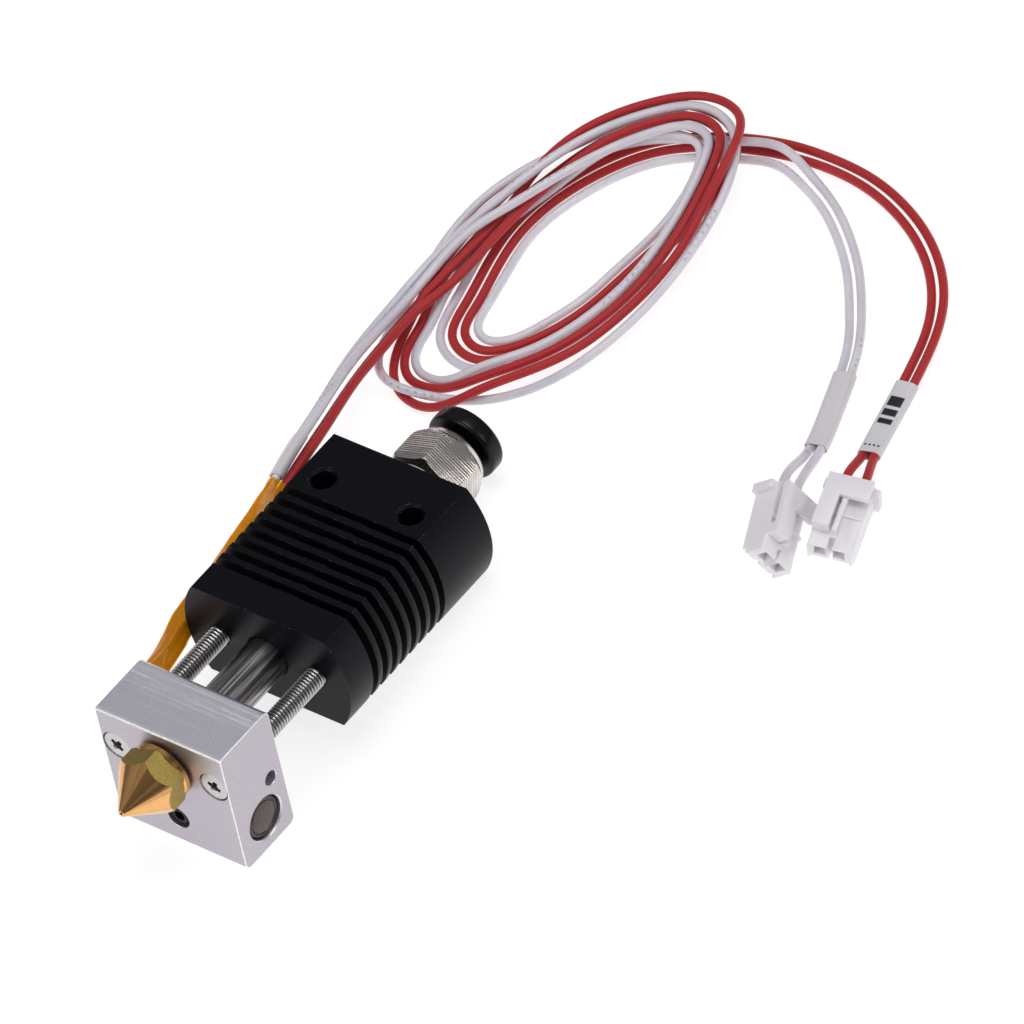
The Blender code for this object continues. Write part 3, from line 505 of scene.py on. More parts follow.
def between(first, second, low, high, after):
    """Middle line of two wires on its first run between two values of y, past a share of the wire."""
    start = int(len(first) * after)
    part = first[start:]
    other = second[start:]
    nearest = np.linalg.norm(part[:, None, :] - other[None, :, :], axis=2).argmin(axis=1)
    middle = (part + other[nearest]) / 2.0
    inside = np.flatnonzero((middle[:, 1] > low) & (middle[:, 1] < high))
    gaps = np.flatnonzero(np.diff(inside) > 1)
    if len(gaps):
        inside = inside[:gaps[0] + 1]
    return middle[inside[np.linspace(0, len(inside) - 1, SLEEVE_POINTS).astype(int)]]


# ---------------------------------------------------------------- materials
def scaled(tone, share):
    """A colour made darker or lighter."""
    return tuple(value * share for value in tone)


class Look:
    """A Principled material with short calls that add the nodes of its detail."""

    def __init__(self, name, colour, roughness, metallic=0.0, more=None):
        self.mat = bpy.data.materials.new(name)
        self.mat.use_nodes = True
        self.tree = self.mat.node_tree
        self.shader = self.tree.nodes["Principled BSDF"]
        self.normal = None
        self.put("Base Color", (*colour, 1.0))
        self.put("Roughness", roughness)
        self.put("Metallic", metallic)
        for name, value in (more or {}).items():
            self.put(name, value)

    def feed(self, socket, value):
        """Link a socket or set a value."""
        if isinstance(value, bpy.types.NodeSocket):
            self.tree.links.new(value, socket)
        else:
            socket.default_value = value

    def put(self, name, value):
        """Set one input of the shader."""
        self.feed(self.shader.inputs[name], value)

    def node(self, kind, inputs, out=0, **settings):
        """Add a node and return one of its outputs."""
        made = self.tree.nodes.new(kind)
        for key, value in settings.items():
            setattr(made, key, value)
        for key, value in inputs.items():
            self.feed(made.inputs[key], value)
        return made.outputs[out]

    def at(self, stretch=(1.0, 1.0, 1.0), kind="Object"):
        """Coordinates in millimetres, or turns and millimetres on a swept tube, stretched."""
        scale = 1.0 / MM if kind == "Object" else 1.0
        source = self.node("ShaderNodeTexCoord", {}, kind)
        return self.node("ShaderNodeVectorMath", {0: source, 1: [s * scale for s in stretch]},
                         operation="MULTIPLY")

    def axis(self, index, kind="Object"):
        """One coordinate by itself."""
        return self.node("ShaderNodeSeparateXYZ", {0: self.at(kind=kind)}, index)

    def noise(self, stretch, detail=3.0, kind="Object"):
        """Soft noise, one grain a unit after stretching."""
        return self.node("ShaderNodeTexNoise", {"Vector": self.at(stretch, kind), "Scale": 1.0,
                                                "Detail": detail, "Roughness": 0.6})

    def calc(self, operation, first, second=0.0):
        """One step of arithmetic."""
        return self.node("ShaderNodeMath", {0: first, 1: second}, operation=operation)

    def times(self, first, second):
        """Product of two values."""
        return self.calc("MULTIPLY", first, second)

    def plus(self, first, second):
        """Sum of two values."""
        return self.calc("ADD", first, second)

    def minus(self, first, second):
        """Difference of two values."""
        return self.calc("SUBTRACT", first, second)

    def ramp(self, value, *stops):
        """Grey values or colours along a value."""
        made = self.tree.nodes.new("ShaderNodeValToRGB")
        self.feed(made.inputs[0], value)
        elements = made.color_ramp.elements
        elements[0].position = stops[0][0]
        elements[1].position = stops[-1][0]
        order = [elements[0]] + [elements.new(stop[0]) for stop in stops[1:-1]]
        order.append(elements[len(elements) - 1])
        for element, (_, tone) in zip(sorted(elements, key=lambda e: e.position), stops):
            element.color = (tone, tone, tone, 1.0) if isinstance(tone, float) else (*tone, 1.0)
        return made.outputs[0]

    def mixed(self, share, first, second):
        """Blend two colours."""
        first = first if isinstance(first, bpy.types.NodeSocket) else (*first, 1.0)
        second = second if isinstance(second, bpy.types.NodeSocket) else (*second, 1.0)
        return self.node("ShaderNodeMix", {0: share, 6: first, 7: second}, 2, data_type="RGBA")

    def bump(self, height, depth, strength=1.0):
        """Add relief of a depth in millimetres."""
        inputs = {"Height": height, "Strength": strength, "Distance": depth * MM}
        if self.normal is not None:
            inputs["Normal"] = self.normal
        self.normal = self.node("ShaderNodeBump", inputs)
        self.put("Normal", self.normal)

    def roughness(self, base, grain, swing):
        """Vary the roughness upwards from a base with a grain."""
        self.put("Roughness", self.plus(base, self.times(grain, swing)))

    def facing(self, index):
        """One component of the surface normal in the piece's own axes."""
        return self.node("ShaderNodeSeparateXYZ", {0: self.node("ShaderNodeTexCoord", {}, "Normal")}, index)

    def wave(self, value, period, shift=0.0):
        """A sine of a value, between -1 and 1."""
        turned = self.times(value, 2.0 * math.pi / period)
        return self.calc("SINE", self.plus(turned, shift))


# Draw lines on the block's top: share of the way to the heat sink, brightness.
DRAW_LINES = (
    (0.2, 0.0), (0.33, 0.0), (0.34, 0.5), (0.35, 0.0), (0.49, 0.0), (0.5, 0.5), (0.51, 0.05), (0.57, 0.0),
    (0.585, 0.8), (0.6, 0.1), (0.65, 0.1), (0.665, 1.0), (0.68, 0.2), (0.73, 0.25), (0.745, 1.0), (0.76, 0.1),
    (0.83, 0.1), (0.85, 0.75), (0.87, 0.15), (0.95, 0.3),
)


def aluminium(name, tone, roughness, lines=False):
    """Sawn and tumbled aluminium; lines adds the bright draw lines along the block's top and paints light on
    the top face, making it lighter and bluer.
    """
    look = Look(name, tone, roughness, 1.0)
    grain = look.noise((4.5, 4.5, 4.5), 4.0)
    cloud = look.noise((0.35, 0.35, 0.35), 2.0)
    dark = scaled(tone, 0.72)
    colour = look.mixed(look.ramp(grain, (0.34, 0.0), (0.66, 1.0)), dark, tone)
    colour = look.mixed(look.times(cloud, 0.35), colour, scaled(tone, 0.9))
    if lines:
        top = look.ramp(look.facing(2), (0.8, 0.0), (0.95, 1.0))
        stripe = look.ramp(look.calc("DIVIDE", look.axis(1), BLOCK_LENGTH), *DRAW_LINES)
        patchy = look.ramp(look.noise((0.16, 2.5, 1.0), 3.0), (0.36, 0.1), (0.56, 1.0))
        stripe = look.times(look.times(stripe, patchy), top)
        brushed = look.noise((0.25, 14.0, 1.0), 3.0)
        # painted light: the upward face is lightened and tinted blue, as if lit from above
        colour = look.mixed(look.times(top, 0.4), colour, (0.86, 0.87, 0.95))
        colour = look.mixed(stripe, colour, (1.0, 1.0, 1.0))
        look.bump(look.times(brushed, top), 0.02)
        look.roughness(roughness, stripe, 0.2)
    look.put("Base Color", colour)
    look.bump(grain, 0.022, 0.9)
    return look.mat


def brass(name, tone, roughness, turned):
    """Brass, with lathe rings and painted dark reflections (a broad band and streaks) on turned faces, or a
    milled grain on flats.
    """
    look = Look(name, tone, roughness, 1.0)
    stain = look.ramp(look.noise((0.9, 0.9, 0.9), 4.0), (0.35, 0.0), (0.75, 1.0))
    fine = look.noise((7.0, 7.0, 7.0), 3.0)
    colour = look.mixed(look.times(stain, 0.4), tone, scaled(tone, 0.75))
    if turned:
        look.bump(look.noise((0.05, 7.0, 0.05), 3.0), 0.02, 0.5)
        # painted reflection: a broad dark band near one angle round the axis, and dark streaks round it
        angle = look.calc("ARCTAN2", look.axis(0), look.axis(2))
        around = look.node("ShaderNodeTexNoise", {"W": look.times(angle, 1.5), "Scale": 1.0,
                                                  "Detail": 3.0}, noise_dimensions="1D")
        away = look.calc("ABSOLUTE", look.minus(angle, 0.45))
        dark_reflection_offset = look.plus(away, look.minus(around, 0.5))
        band = look.times(look.ramp(dark_reflection_offset, (0.22, 1.0), (0.45, 0.0)), 0.85)
        streak = look.times(look.ramp(around, (0.44, 0.0), (0.60, 1.0)), 0.45)
        # the painted dark reflections take the brass down to about a fifth of its tone
        colour = look.mixed(look.calc("MAXIMUM", band, streak), colour, scaled(tone, 0.22))
    else:
        look.bump(look.noise((1.6, 4.0, 4.0), 4.0), 0.05, 1.0)
        mottle = look.ramp(look.noise((3.0, 5.0, 5.0), 4.0), (0.40, 0.0), (0.62, 1.0))
        colour = look.mixed(look.times(mottle, 0.55), colour, scaled(tone, 0.55))
    look.bump(fine, 0.008, 0.5)
    look.put("Base Color", colour)
    look.roughness(roughness - 0.07, fine, 0.16)
    return look.mat


def drawn_steel(name, tone, roughness, along, depth=0.02, gain=1.7):
    """Steel scratched lengthwise or round; along stretches the grain, gain lightens its streaks, and a large
    gain makes them painted highlights as well as scratches.
    """
    look = Look(name, tone, roughness, 1.0)
    streak = look.noise(along, 4.0)
    fine = look.noise((6.0, 6.0, 6.0), 2.0)
    light = tuple(min(1.0, value * gain) for value in tone)
    look.put("Base Color", look.mixed(look.ramp(streak, (0.42, 0.0), (0.72, 1.0)), tone, light))
    look.roughness(roughness - 0.05, fine, 0.12)
    look.bump(streak, depth)
    return look.mat


def screw_steel():
    """Bright steel with painted shade in the thread valleys and the cross recess."""
    look = Look("screw_steel", (0.60, 0.58, 0.58), 0.34, 1.0)
    # painted shade: near-black where the screw is narrow and deep, in the thread valleys and the cross recess
    aside = look.minus(look.calc("ABSOLUTE", look.axis(0)), SCREW_X)
    square = look.plus(look.calc("POWER", aside, 2.0), look.calc("POWER", look.axis(2), 2.0))
    core = look.ramp(look.calc("DIVIDE", look.calc("SQRT", square), 2.0), (0.61, 1.0), (0.70, 0.0))
    recess_shade_depth = look.ramp(look.calc("DIVIDE", look.axis(1), 2.0), (0.13, 0.0), (0.2, 1.0))
    share = look.times(look.times(core, recess_shade_depth), 0.88)
    grain = look.noise((3.0, 3.0, 3.0), 3.0)
    light = look.mixed(grain, (0.50, 0.48, 0.48), (0.68, 0.66, 0.66))
    look.put("Base Color", look.mixed(share, light, (0.03, 0.028, 0.027)))
    look.bump(grain, 0.004, 0.5)
    return look.mat


def nickel():
    """Nickel-plated flats with turning marks round the fitting."""
    look = Look("nickel_plate", (0.66, 0.60, 0.55), 0.24, 1.0)
    flat = look.ramp(look.calc("ABSOLUTE", look.facing(1)), (0.05, 1.0), (0.2, 0.0))
    ridge = look.times(look.plus(look.wave(look.axis(1), 0.37), 1.0), 0.22)
    marks = look.plus(look.times(look.noise((0.03, 3.4, 0.03), 1.0), 0.6), ridge)
    tone = look.mixed(look.ramp(marks, (0.38, 0.0), (0.62, 1.0)), (0.40, 0.36, 0.34), (0.80, 0.74, 0.70))
    look.put("Base Color", look.mixed(flat, (0.78, 0.72, 0.68), tone))
    look.bump(look.times(marks, flat), 0.09)
    look.bump(look.noise((3.0, 3.0, 3.0), 3.0), 0.006, 0.5)
    return look.mat


def anodised(name, tone, roughness, chips=0.0):
    """Black anodised aluminium; chips lets bare metal show in specks."""
    look = Look(name, tone, roughness, 0.0, {"Specular IOR Level": 0.13})
    cloud = look.noise((0.25, 0.25, 0.25), 3.0)
    grain = look.noise((8.0, 8.0, 8.0), 3.0)
    colour = look.mixed(cloud, tone, tuple(value * 1.5 + 0.001 for value in tone))
    if chips:
        speck = look.ramp(look.noise((2.6, 2.6, 2.6), 4.0), (0.58 - chips, 0.0), (0.64 - chips, 1.0))
        colour = look.mixed(speck, colour, (0.42, 0.42, 0.40))
    look.put("Base Color", colour)
    look.roughness(roughness - 0.06, grain, 0.14)
    look.bump(grain, 0.006, 0.6)
    return look.mat


def plastic(name, tone, roughness, soft=0.0, shade=0.9, depth=0.01, shine=0.5):
    """Moulded plastic with a faint flow pattern; soft lets light into it."""
    look = Look(name, tone, roughness, 0.0, {"Subsurface Weight": soft, "Subsurface Scale": 0.6 * MM,
                                             "Subsurface Radius": (1.0, 0.9, 0.95),
                                             "Specular IOR Level": shine})
    flow = look.noise((0.5, 0.5, 0.5), 3.0)
    grain = look.noise((6.0, 6.0, 6.0), 3.0)
    look.put("Base Color", look.mixed(flow, tone, scaled(tone, shade)))
    look.roughness(roughness - 0.05, grain, 0.12)
    look.bump(grain, depth, 0.6)
    return look.mat


def braid(name, tone, dark, strands, pitch, depth):
    """Braided sleeving: two sets of strands that wind round the tube against each other."""
    look = Look(name, tone, 0.55, 0.0, {"Sheen Weight": 0.25})
    turn = look.times(look.axis(0, "UV"), 2.0 * math.pi * strands)
    climb = look.times(look.axis(1, "UV"), 2.0 * math.pi / pitch)
    one = look.calc("SINE", look.plus(turn, climb))
    two = look.calc("SINE", look.minus(turn, climb))
    weave = look.plus(look.times(look.times(one, two), 0.5), 0.5)
    worn = look.noise((3.0, 0.15, 1.0), 3.0, "UV")
    colour = look.mixed(look.ramp(weave, (0.1, 0.0), (0.6, 1.0)), dark, tone)
    look.put("Base Color", look.mixed(look.times(worn, 0.3), colour, dark))
    look.bump(weave, depth)
    return look.mat


def insulation():
    """White silicone insulation with faint printed ticks."""
    look = Look("white_insulation", (0.76, 0.73, 0.79), 0.34, 0.0,
                {"Subsurface Weight": 0.25, "Subsurface Scale": 0.5 * MM, "Coat Weight": 0.15})
    cloud = look.noise((2.0, 0.12, 1.0), 3.0, "UV")
    colour = look.mixed(look.ramp(cloud, (0.35, 0.0), (0.7, 1.0)), (0.80, 0.78, 0.82), (0.68, 0.64, 0.72))
    length = look.axis(1, "UV")
    around = look.axis(0, "UV")
    band = look.ramp(look.calc("ABSOLUTE", look.minus(around, 0.3)), (0.05, 1.0), (0.06, 0.0))
    tick = look.ramp(look.wave(length, 1.1), (0.25, 0.0), (0.4, 1.0))
    word = look.ramp(look.wave(length, 46.0, 1.2), (0.80, 0.0), (0.82, 1.0))
    broken = look.ramp(look.noise((9.0, 2.4, 1.0), 1.0, "UV"), (0.45, 0.0), (0.5, 1.0))
    mark = look.times(look.times(band, tick), look.times(word, broken))
    look.put("Base Color", look.mixed(look.times(mark, 0.5), colour, (0.25, 0.23, 0.26)))
    look.bump(look.noise((4.0, 0.8, 1.0), 3.0, "UV"), 0.012, 0.6)
    return look.mat


# Print on the label sleeve: side of the tube in turns, then bars and dots as shares of its length.
LABEL_LENGTH = 12.4
PRINT_SIDE = 0.25
PRINT_BARS = ((0.20, 0.34), (0.37, 0.47), (0.50, 0.58))
PRINT_DOTS = 0.88


def shrink_tube(name, tone, printed=0.0):
    """Shrink tubing; printed is the length of a tube with generic bars and a row of dots."""
    look = Look(name, tone, 0.42, 0.0, {"Subsurface Weight": 0.15, "Subsurface Scale": 0.4 * MM})
    cloud = look.noise((3.0, 0.3, 1.0), 3.0, "UV")
    colour = look.mixed(cloud, tone, scaled(tone, 0.9))
    if printed:
        length = look.axis(1, "UV")
        around = look.axis(0, "UV")
        beside = look.calc("ABSOLUTE", look.minus(around, PRINT_SIDE))
        stops = []
        for low, high in PRINT_BARS:
            stops += [(low, 0.0), (low + 0.01, 1.0), (high - 0.01, 1.0), (high, 0.0)]
        bars = look.ramp(look.calc("DIVIDE", length, printed), *stops)
        bars = look.times(bars, look.ramp(beside, (0.115, 1.0), (0.12, 0.0)))
        near = look.minus(length, printed * PRINT_DOTS)
        spot = look.minus(look.calc("FRACT", look.plus(look.times(around, 14.0), 0.5)), 0.5)
        spot = look.times(spot, 0.6)
        ring = look.calc("SQRT", look.plus(look.calc("POWER", near, 2.0), look.calc("POWER", spot, 2.0)))
        dots = look.times(look.ramp(ring, (0.16, 1.0), (0.19, 0.0)),
                          look.ramp(beside, (0.125, 1.0), (0.128, 0.0)))
        colour = look.mixed(look.calc("MAXIMUM", bars, dots), colour, (0.01, 0.01, 0.012))
    look.put("Base Color", colour)
    look.bump(look.noise((5.0, 1.0, 1.0), 3.0, "UV"), 0.02, 0.6)
    return look.mat


def amber_film():
    """Thin amber tape: tinted light goes through, with a glossy skin and milky wraps."""
    look = Look("amber_film", (0.90, 0.48, 0.02), 0.14, 0.0, {"Coat Weight": 0.4})
    wrap = look.noise((1.2, 0.5, 1.0), 3.0, "UV")
    look.put("Base Color", look.mixed(look.ramp(wrap, (0.35, 0.0), (0.7, 1.0)), (0.95, 0.62, 0.02),
                                      (0.88, 0.36, 0.01)))
    look.bump(look.noise((2.2, 1.1, 1.0), 4.0, "UV"), 0.12)
    clear = look.node("ShaderNodeBsdfTransparent", {0: (1.0, 0.72, 0.16, 1.0)})
    share = look.ramp(wrap, (0.3, 0.26), (0.75, 0.42))
    mixed = look.node("ShaderNodeMixShader", {0: share, 1: clear, 2: look.shader.outputs[0]})
    look.feed(look.tree.nodes["Material Output"].inputs["Surface"], mixed)
    return look.mat


BLOCK_FACE = aluminium("block_face", (0.92, 0.88, 0.96), 0.42, lines=True)
# block_painted_shade: the block's aluminium made darker, painted shade on the milled front and ends
BLOCK_PAINTED_SHADE = aluminium("block_painted_shade", (0.60, 0.555, 0.615), 0.42)
# block_painted_highlight: pure white aluminium, a painted highlight on the rounded edges
BLOCK_PAINTED_HIGHLIGHT = aluminium("block_painted_highlight", (1.0, 1.0, 1.0), 0.38)
# brass_cone carries the painted dark reflections on the turned faces
BRASS_CONE = brass("brass_cone", (0.92, 0.50, 0.19), 0.20, True)
BRASS_FLAT = brass("brass_flat", (0.60, 0.44, 0.12), 0.38, False)
BRASS_EDGE = brass("brass_edge", (0.86, 0.66, 0.34), 0.18, False)
BLOCK_LOOKS = (BLOCK_FACE, BLOCK_PAINTED_HIGHLIGHT, BLOCK_PAINTED_SHADE)
BRASS_LOOKS = (BRASS_CONE, BRASS_FLAT, BRASS_EDGE)
# heat break: lengthwise streaks lightened sevenfold on near-black steel, drawing marks and painted highlights
# both
BREAK_STEEL = drawn_steel("heat_break_steel", (0.09, 0.085, 0.085), 0.30, (2.2, 0.05, 2.2), 0.008, 7.0)
SCREW_STEEL = screw_steel()
CARTRIDGE_STEEL = drawn_steel("cartridge_steel", (0.095, 0.075, 0.07), 0.36, (4.0, 4.0, 4.0), 0.012, 1.6)
BLACK_OXIDE = anodised("black_oxide", (0.008, 0.009, 0.009), 0.30)
SINK_BLACK = anodised("black_anodised", (0.0016, 0.0018, 0.0042), 0.36)
# worn_and_highlit_edge: a lighter base on every eased edge as a painted highlight, with specks of bare metal
# as wear
SINK_WORN_AND_HIGHLIT = anodised("worn_and_highlit_edge", (0.012, 0.013, 0.018), 0.30, chips=0.02)
SINK_LOOKS = (SINK_BLACK, SINK_WORN_AND_HIGHLIT)
NICKEL = nickel()
COLLAR_BLACK = plastic("collar_black", (0.003, 0.003, 0.004), 0.24, shade=1.4, shine=0.22)
SEAL_BLACK = plastic("seal_rubber", (0.012, 0.012, 0.012), 0.75, shade=1.5)
PTFE = plastic("ptfe", (0.84, 0.84, 0.86), 0.4, 0.3)
CERAMIC = plastic("ceramic", (0.80, 0.78, 0.72), 0.7, 0.0, depth=0.03)
BEAD_GLASS = plastic("bead_glass", (0.70, 0.42, 0.20), 0.1, 0.3)
NYLON = plastic("white_nylon", (0.90, 0.86, 0.90), 0.36, 0.45, 0.96)
CONTACT = drawn_steel("tinned_contact", (0.42, 0.34, 0.18), 0.3, (3.0, 0.5, 3.0))
SPLICE = brass("splice_brass", (0.72, 0.52, 0.20), 0.3, False)
RED_BRAID = braid("red_sleeving", (0.56, 0.008, 0.012), (0.34, 0.004, 0.006), 8, 0.9, 0.02)
PALE_BRAID = braid("pale_sleeving", (0.80, 0.60, 0.56), (0.58, 0.34, 0.30), 6, 1.2, 0.06)
WHITE_INSULATION = insulation()
WHITE_TUBE = shrink_tube("white_tube", (0.77, 0.72, 0.75))
LABEL_TUBE = shrink_tube("label_tube", (0.77, 0.74, 0.77), LABEL_LENGTH)
AMBER = amber_film()


def slots(obj, *looks):
    """Give an object its material slots, in order."""
    for look in looks:
        obj.data.materials.append(look)


def keep(node, look):
    """Give a CAD node that stays its finish."""
    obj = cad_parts[node]
    obj.data.materials.clear()
    slots(obj, look)


def heater_block():
    """The aluminium block with its bores and rounded edges, the edges painted bright as a highlight."""
    obj = box((-BLOCK_HALF_WIDTH, 0.0, BLOCK_BOTTOM), (BLOCK_HALF_WIDTH, BLOCK_LENGTH, BLOCK_TOP), "x",
              BLOCK_ROUND, 8, crisp=FRONT_ROUND)
    slots(obj, *BLOCK_LOOKS)
    # The front top round is painted bright as a highlight; the front and the two ends are milled and get a
    # darker copy of the aluminium as painted shade.
    for face in obj.data.polygons:
        if face.normal.y < -0.1 and face.normal.z > 0.1:
            face.material_index = 1
        elif face.normal.y < -0.9 or abs(face.normal.x) > 0.9:
            face.material_index = 2
    # the new edge faces take slot 1, the painted highlight
    eased(obj, 0.13, 50.0, worn=1)
    cut(obj, rod(3.3, -1.0, BLOCK_LENGTH + 1.0))
    cut(obj, hole(3.12, 3.3, BLOCK_HALF_WIDTH, "x", CARTRIDGE_AT))
    cut(obj, hole(1.05, 1.15, BLOCK_HALF_WIDTH, "x", THERMISTOR_AT))
    cut(obj, spun(((0.0, 4.0), (1.75, 4.0), (1.75, 0.04), (1.79, 0.0), (1.79, -1.0), (0.0, -1.0)), at=GRUB_AT,
                  steps=48))
    for side in (-1, 1):
        cut(obj, spun(((0.0, 11.0), (1.7, 11.0), (1.7, 1.45), (2.22, 0.65), (2.24, -1.0), (0.0, -1.0)),
                      at=(side * SCREW_X, 0.0, 0.0), steps=BORE_STEPS))
    piece(obj, "block_body", BLOCK_LOOKS, ("heater_block",), weighted=True)


def hole(radius, rim, half, axis, at):
    """A through bore that widens a little at both faces, for cutting."""
    flare = rim - radius
    return spun(((0.0, half + 1.0), (rim, half + 1.0), (rim, half), (radius, half - flare),
                 (radius, flare - half), (rim, -half), (rim, -half - 1.0), (0.0, -half - 1.0)),
                axis, at, BORE_STEPS)


def nozzle():
    """Brass nozzle: hexagon cut out of a turned body, cone, small mouth and threaded stub."""
    body = spun(((0.0, -1.2), (4.35, -1.2), (4.62, -1.45), (4.62, -3.58), (0.62, -8.93), (0.5, -9.1),
                 (0.36, -9.13), (0.2, -9.13), (0.2, -8.2), (0.0, -8.2)), steps=128)
    cut(body, hexagon(8.0, -10.0, 2.0, 22.0), "INTERSECT")
    stub = [(0.0, 4.7), (2.6, 4.7)]
    for turn in range(8):
        stub += [(2.95, 4.4 - 0.5 * turn), (2.7, 4.15 - 0.5 * turn)]
    stub += [(2.7, -0.3), (2.95, -0.36), (4.15, -0.4), (4.25, -0.5), (4.25, -1.1), (4.1, -1.4), (0.0, -1.4)]
    cut(body, spun(stub, steps=64), "UNION")
    slots(body, *BRASS_LOOKS)
    # The six flats of the hexagon are milled, the rest is turned.
    for face in body.data.polygons:
        out = face.normal
        radial = math.hypot(out.x, out.z)
        face.material_index = 1 if radial > 0.98 and -3.9 * MM < face.center.y < -1.2 * MM else 0
    eased(body, 0.05, 28.0, worn=2)
    piece(body, "nozzle_body", BRASS_LOOKS, ("nozzle",), sharp=8.0)


def heat_break():
    """Steel tube between the block and the heat sink."""
    obj = spun(((2.3, 27.0), (2.95, 27.0), (3.05, 26.9), (3.05, 5.1), (2.95, 5.0), (2.3, 5.0)),
               closed=True, steps=128)
    piece(obj, "heat_break_tube", BREAK_STEEL, ("heat_break",))


def heat_sink():
    """Black anodised heat sink: two flats, eight grooves, mounting holes, worn edges with a painted
    highlight.
    """
    outline = [(3.35, SINK_END), (SINK_RADIUS, SINK_END)]
    for index in reversed(range(GROOVES)):
        near = FIRST_GROOVE + index * GROOVE_PITCH
        far = near + GROOVE_WIDTH
        outline += [(SINK_RADIUS, far), (GROOVE_CORE, far), (GROOVE_CORE, near), (SINK_RADIUS, near)]
    outline += [(SINK_RADIUS, SINK_START), (3.2, SINK_START), (3.2, 27.3), (2.35, 27.3), (2.35, 45.2),
                (3.35, 45.2)]
    obj = spun(outline, closed=True, steps=144)
    cut(obj, box((-14.0, 20.0, -SINK_FLAT), (14.0, 53.0, SINK_FLAT)), "INTERSECT")
    for side in (-1, 1):
        cut(obj, hole(1.65, 1.97, SINK_FLAT, "z", (side * MOUNT_HOLE_X, MOUNT_HOLE_Y, 0.0)))
        cut(obj, rod(1.6, 20.0, 26.5, at=(side * SCREW_X, 0.0, 0.0)))
    slots(obj, *SINK_LOOKS)
    # the eased edges take slot 1: wear and a painted highlight
    eased(obj, 0.13, 38.0, worn=1)
    piece(obj, "heat_sink_body", SINK_LOOKS, ("heat_sink",), weighted=True)


def threaded(at, core, crest, pitch, start, end, steps=32, rows=8):
    """A closed screw shank with a real helical thread from start to end."""
    bm = bmesh.new()
    count = int(round((end - start) / pitch * rows))
    rings = []
    for row in range(count + 1):
        height = start + (end - start) * row / count
        fade = min(1.0, (height - start) / pitch, (end - height) / pitch)
        ring = []
        for k in range(steps):
            phase = (height / pitch - k / steps) % 1.0
            rise = max(0.0, 1.0 - abs(phase - 0.5) / 0.44)
            radius = core + (crest - core) * min(1.0, rise * 1.15) * fade
            angle = 2.0 * math.pi * k / steps
            ring.append(bm.verts.new((at[0] + radius * math.cos(angle), height,
                                      at[2] + radius * math.sin(angle))))
        rings.append(ring)
    for low, high in zip(rings, rings[1:]):
        for k in range(steps):
            n = (k + 1) % steps
            bm.faces.new((low[k], low[n], high[n], high[k]))
    bm.faces.new(rings[0])
    bm.faces.new(rings[-1])
    return from_bmesh("thread", bm)


def screws():
    """Countersunk cross-recess screws that hold the block on the heat sink."""
    for side, label in ((-1, "left"), (1, "right")):
        at = (side * SCREW_X, 0.0, 0.0)
        head = spun(((0.0, 4.0), (1.3, 4.0), (1.3, 1.25), (2.08, 0.46), (2.1, 0.34), (2.0, 0.14),
                     (0.0, 0.08)), at=at, steps=64)
        cut(head, threaded(at, 1.18, 1.46, 0.5, 3.5, 26.1), "UNION")
        turn = math.radians(24.0 if side > 0 else 40.0)
        for extra in (0.0, math.pi / 2):
            arm = box((-1.28, -0.6, -0.32), (1.28, 1.15, 0.32))
            for vert in arm.data.vertices:
                vert.co.x *= 1.0 if vert.co.y < 0.0 else 0.45
            arm.data.transform(Matrix.Rotation(turn + extra, 4, "Y"))
            arm.data.transform(Matrix.Translation(Vector(at) * MM))
            cut(head, arm)
        cone = spun(((0.0, 1.25), (0.62, 0.35), (0.7, -0.4), (0.0, -0.4)), at=at, steps=24)
        cut(head, cone)
        piece(head, f"standoff_{label}", SCREW_STEEL, (f"standoff_screw_{label}",), sharp=26.0)


def cartridge():
    """The closed end of the heater cartridge and its black grub screw."""
    sheath = spun(((0.0, 9.86), (1.0, 9.84), (1.9, 9.76), (2.22, 9.64), (2.32, 9.5), (2.42, 9.48),
                   (2.52, 9.6), (2.72, 9.58), (2.92, 9.4), (3.0, 9.15), (3.0, -10.6), (2.5, -10.6),
                   (2.5, 9.0), (0.0, 9.0)), "x", CARTRIDGE_AT)
    piece(sheath, "cartridge_tube", CARTRIDGE_STEEL, ("cartridge_sheath",))
    grub = spun(((0.0, 1.95), (1.2, 1.95), (1.45, 1.7), (1.45, 1.2), (1.3, 1.1), (1.45, 1.0), (1.45, 0.55),
                 (1.22, 0.3), (0.0, 0.3)), at=GRUB_AT, steps=48)
    cut(grub, hexagon(1.45, -0.5, 1.3, 0.0, at=GRUB_AT))
    piece(grub, "grub_screw", BLACK_OXIDE, ("cartridge_set_screw",))


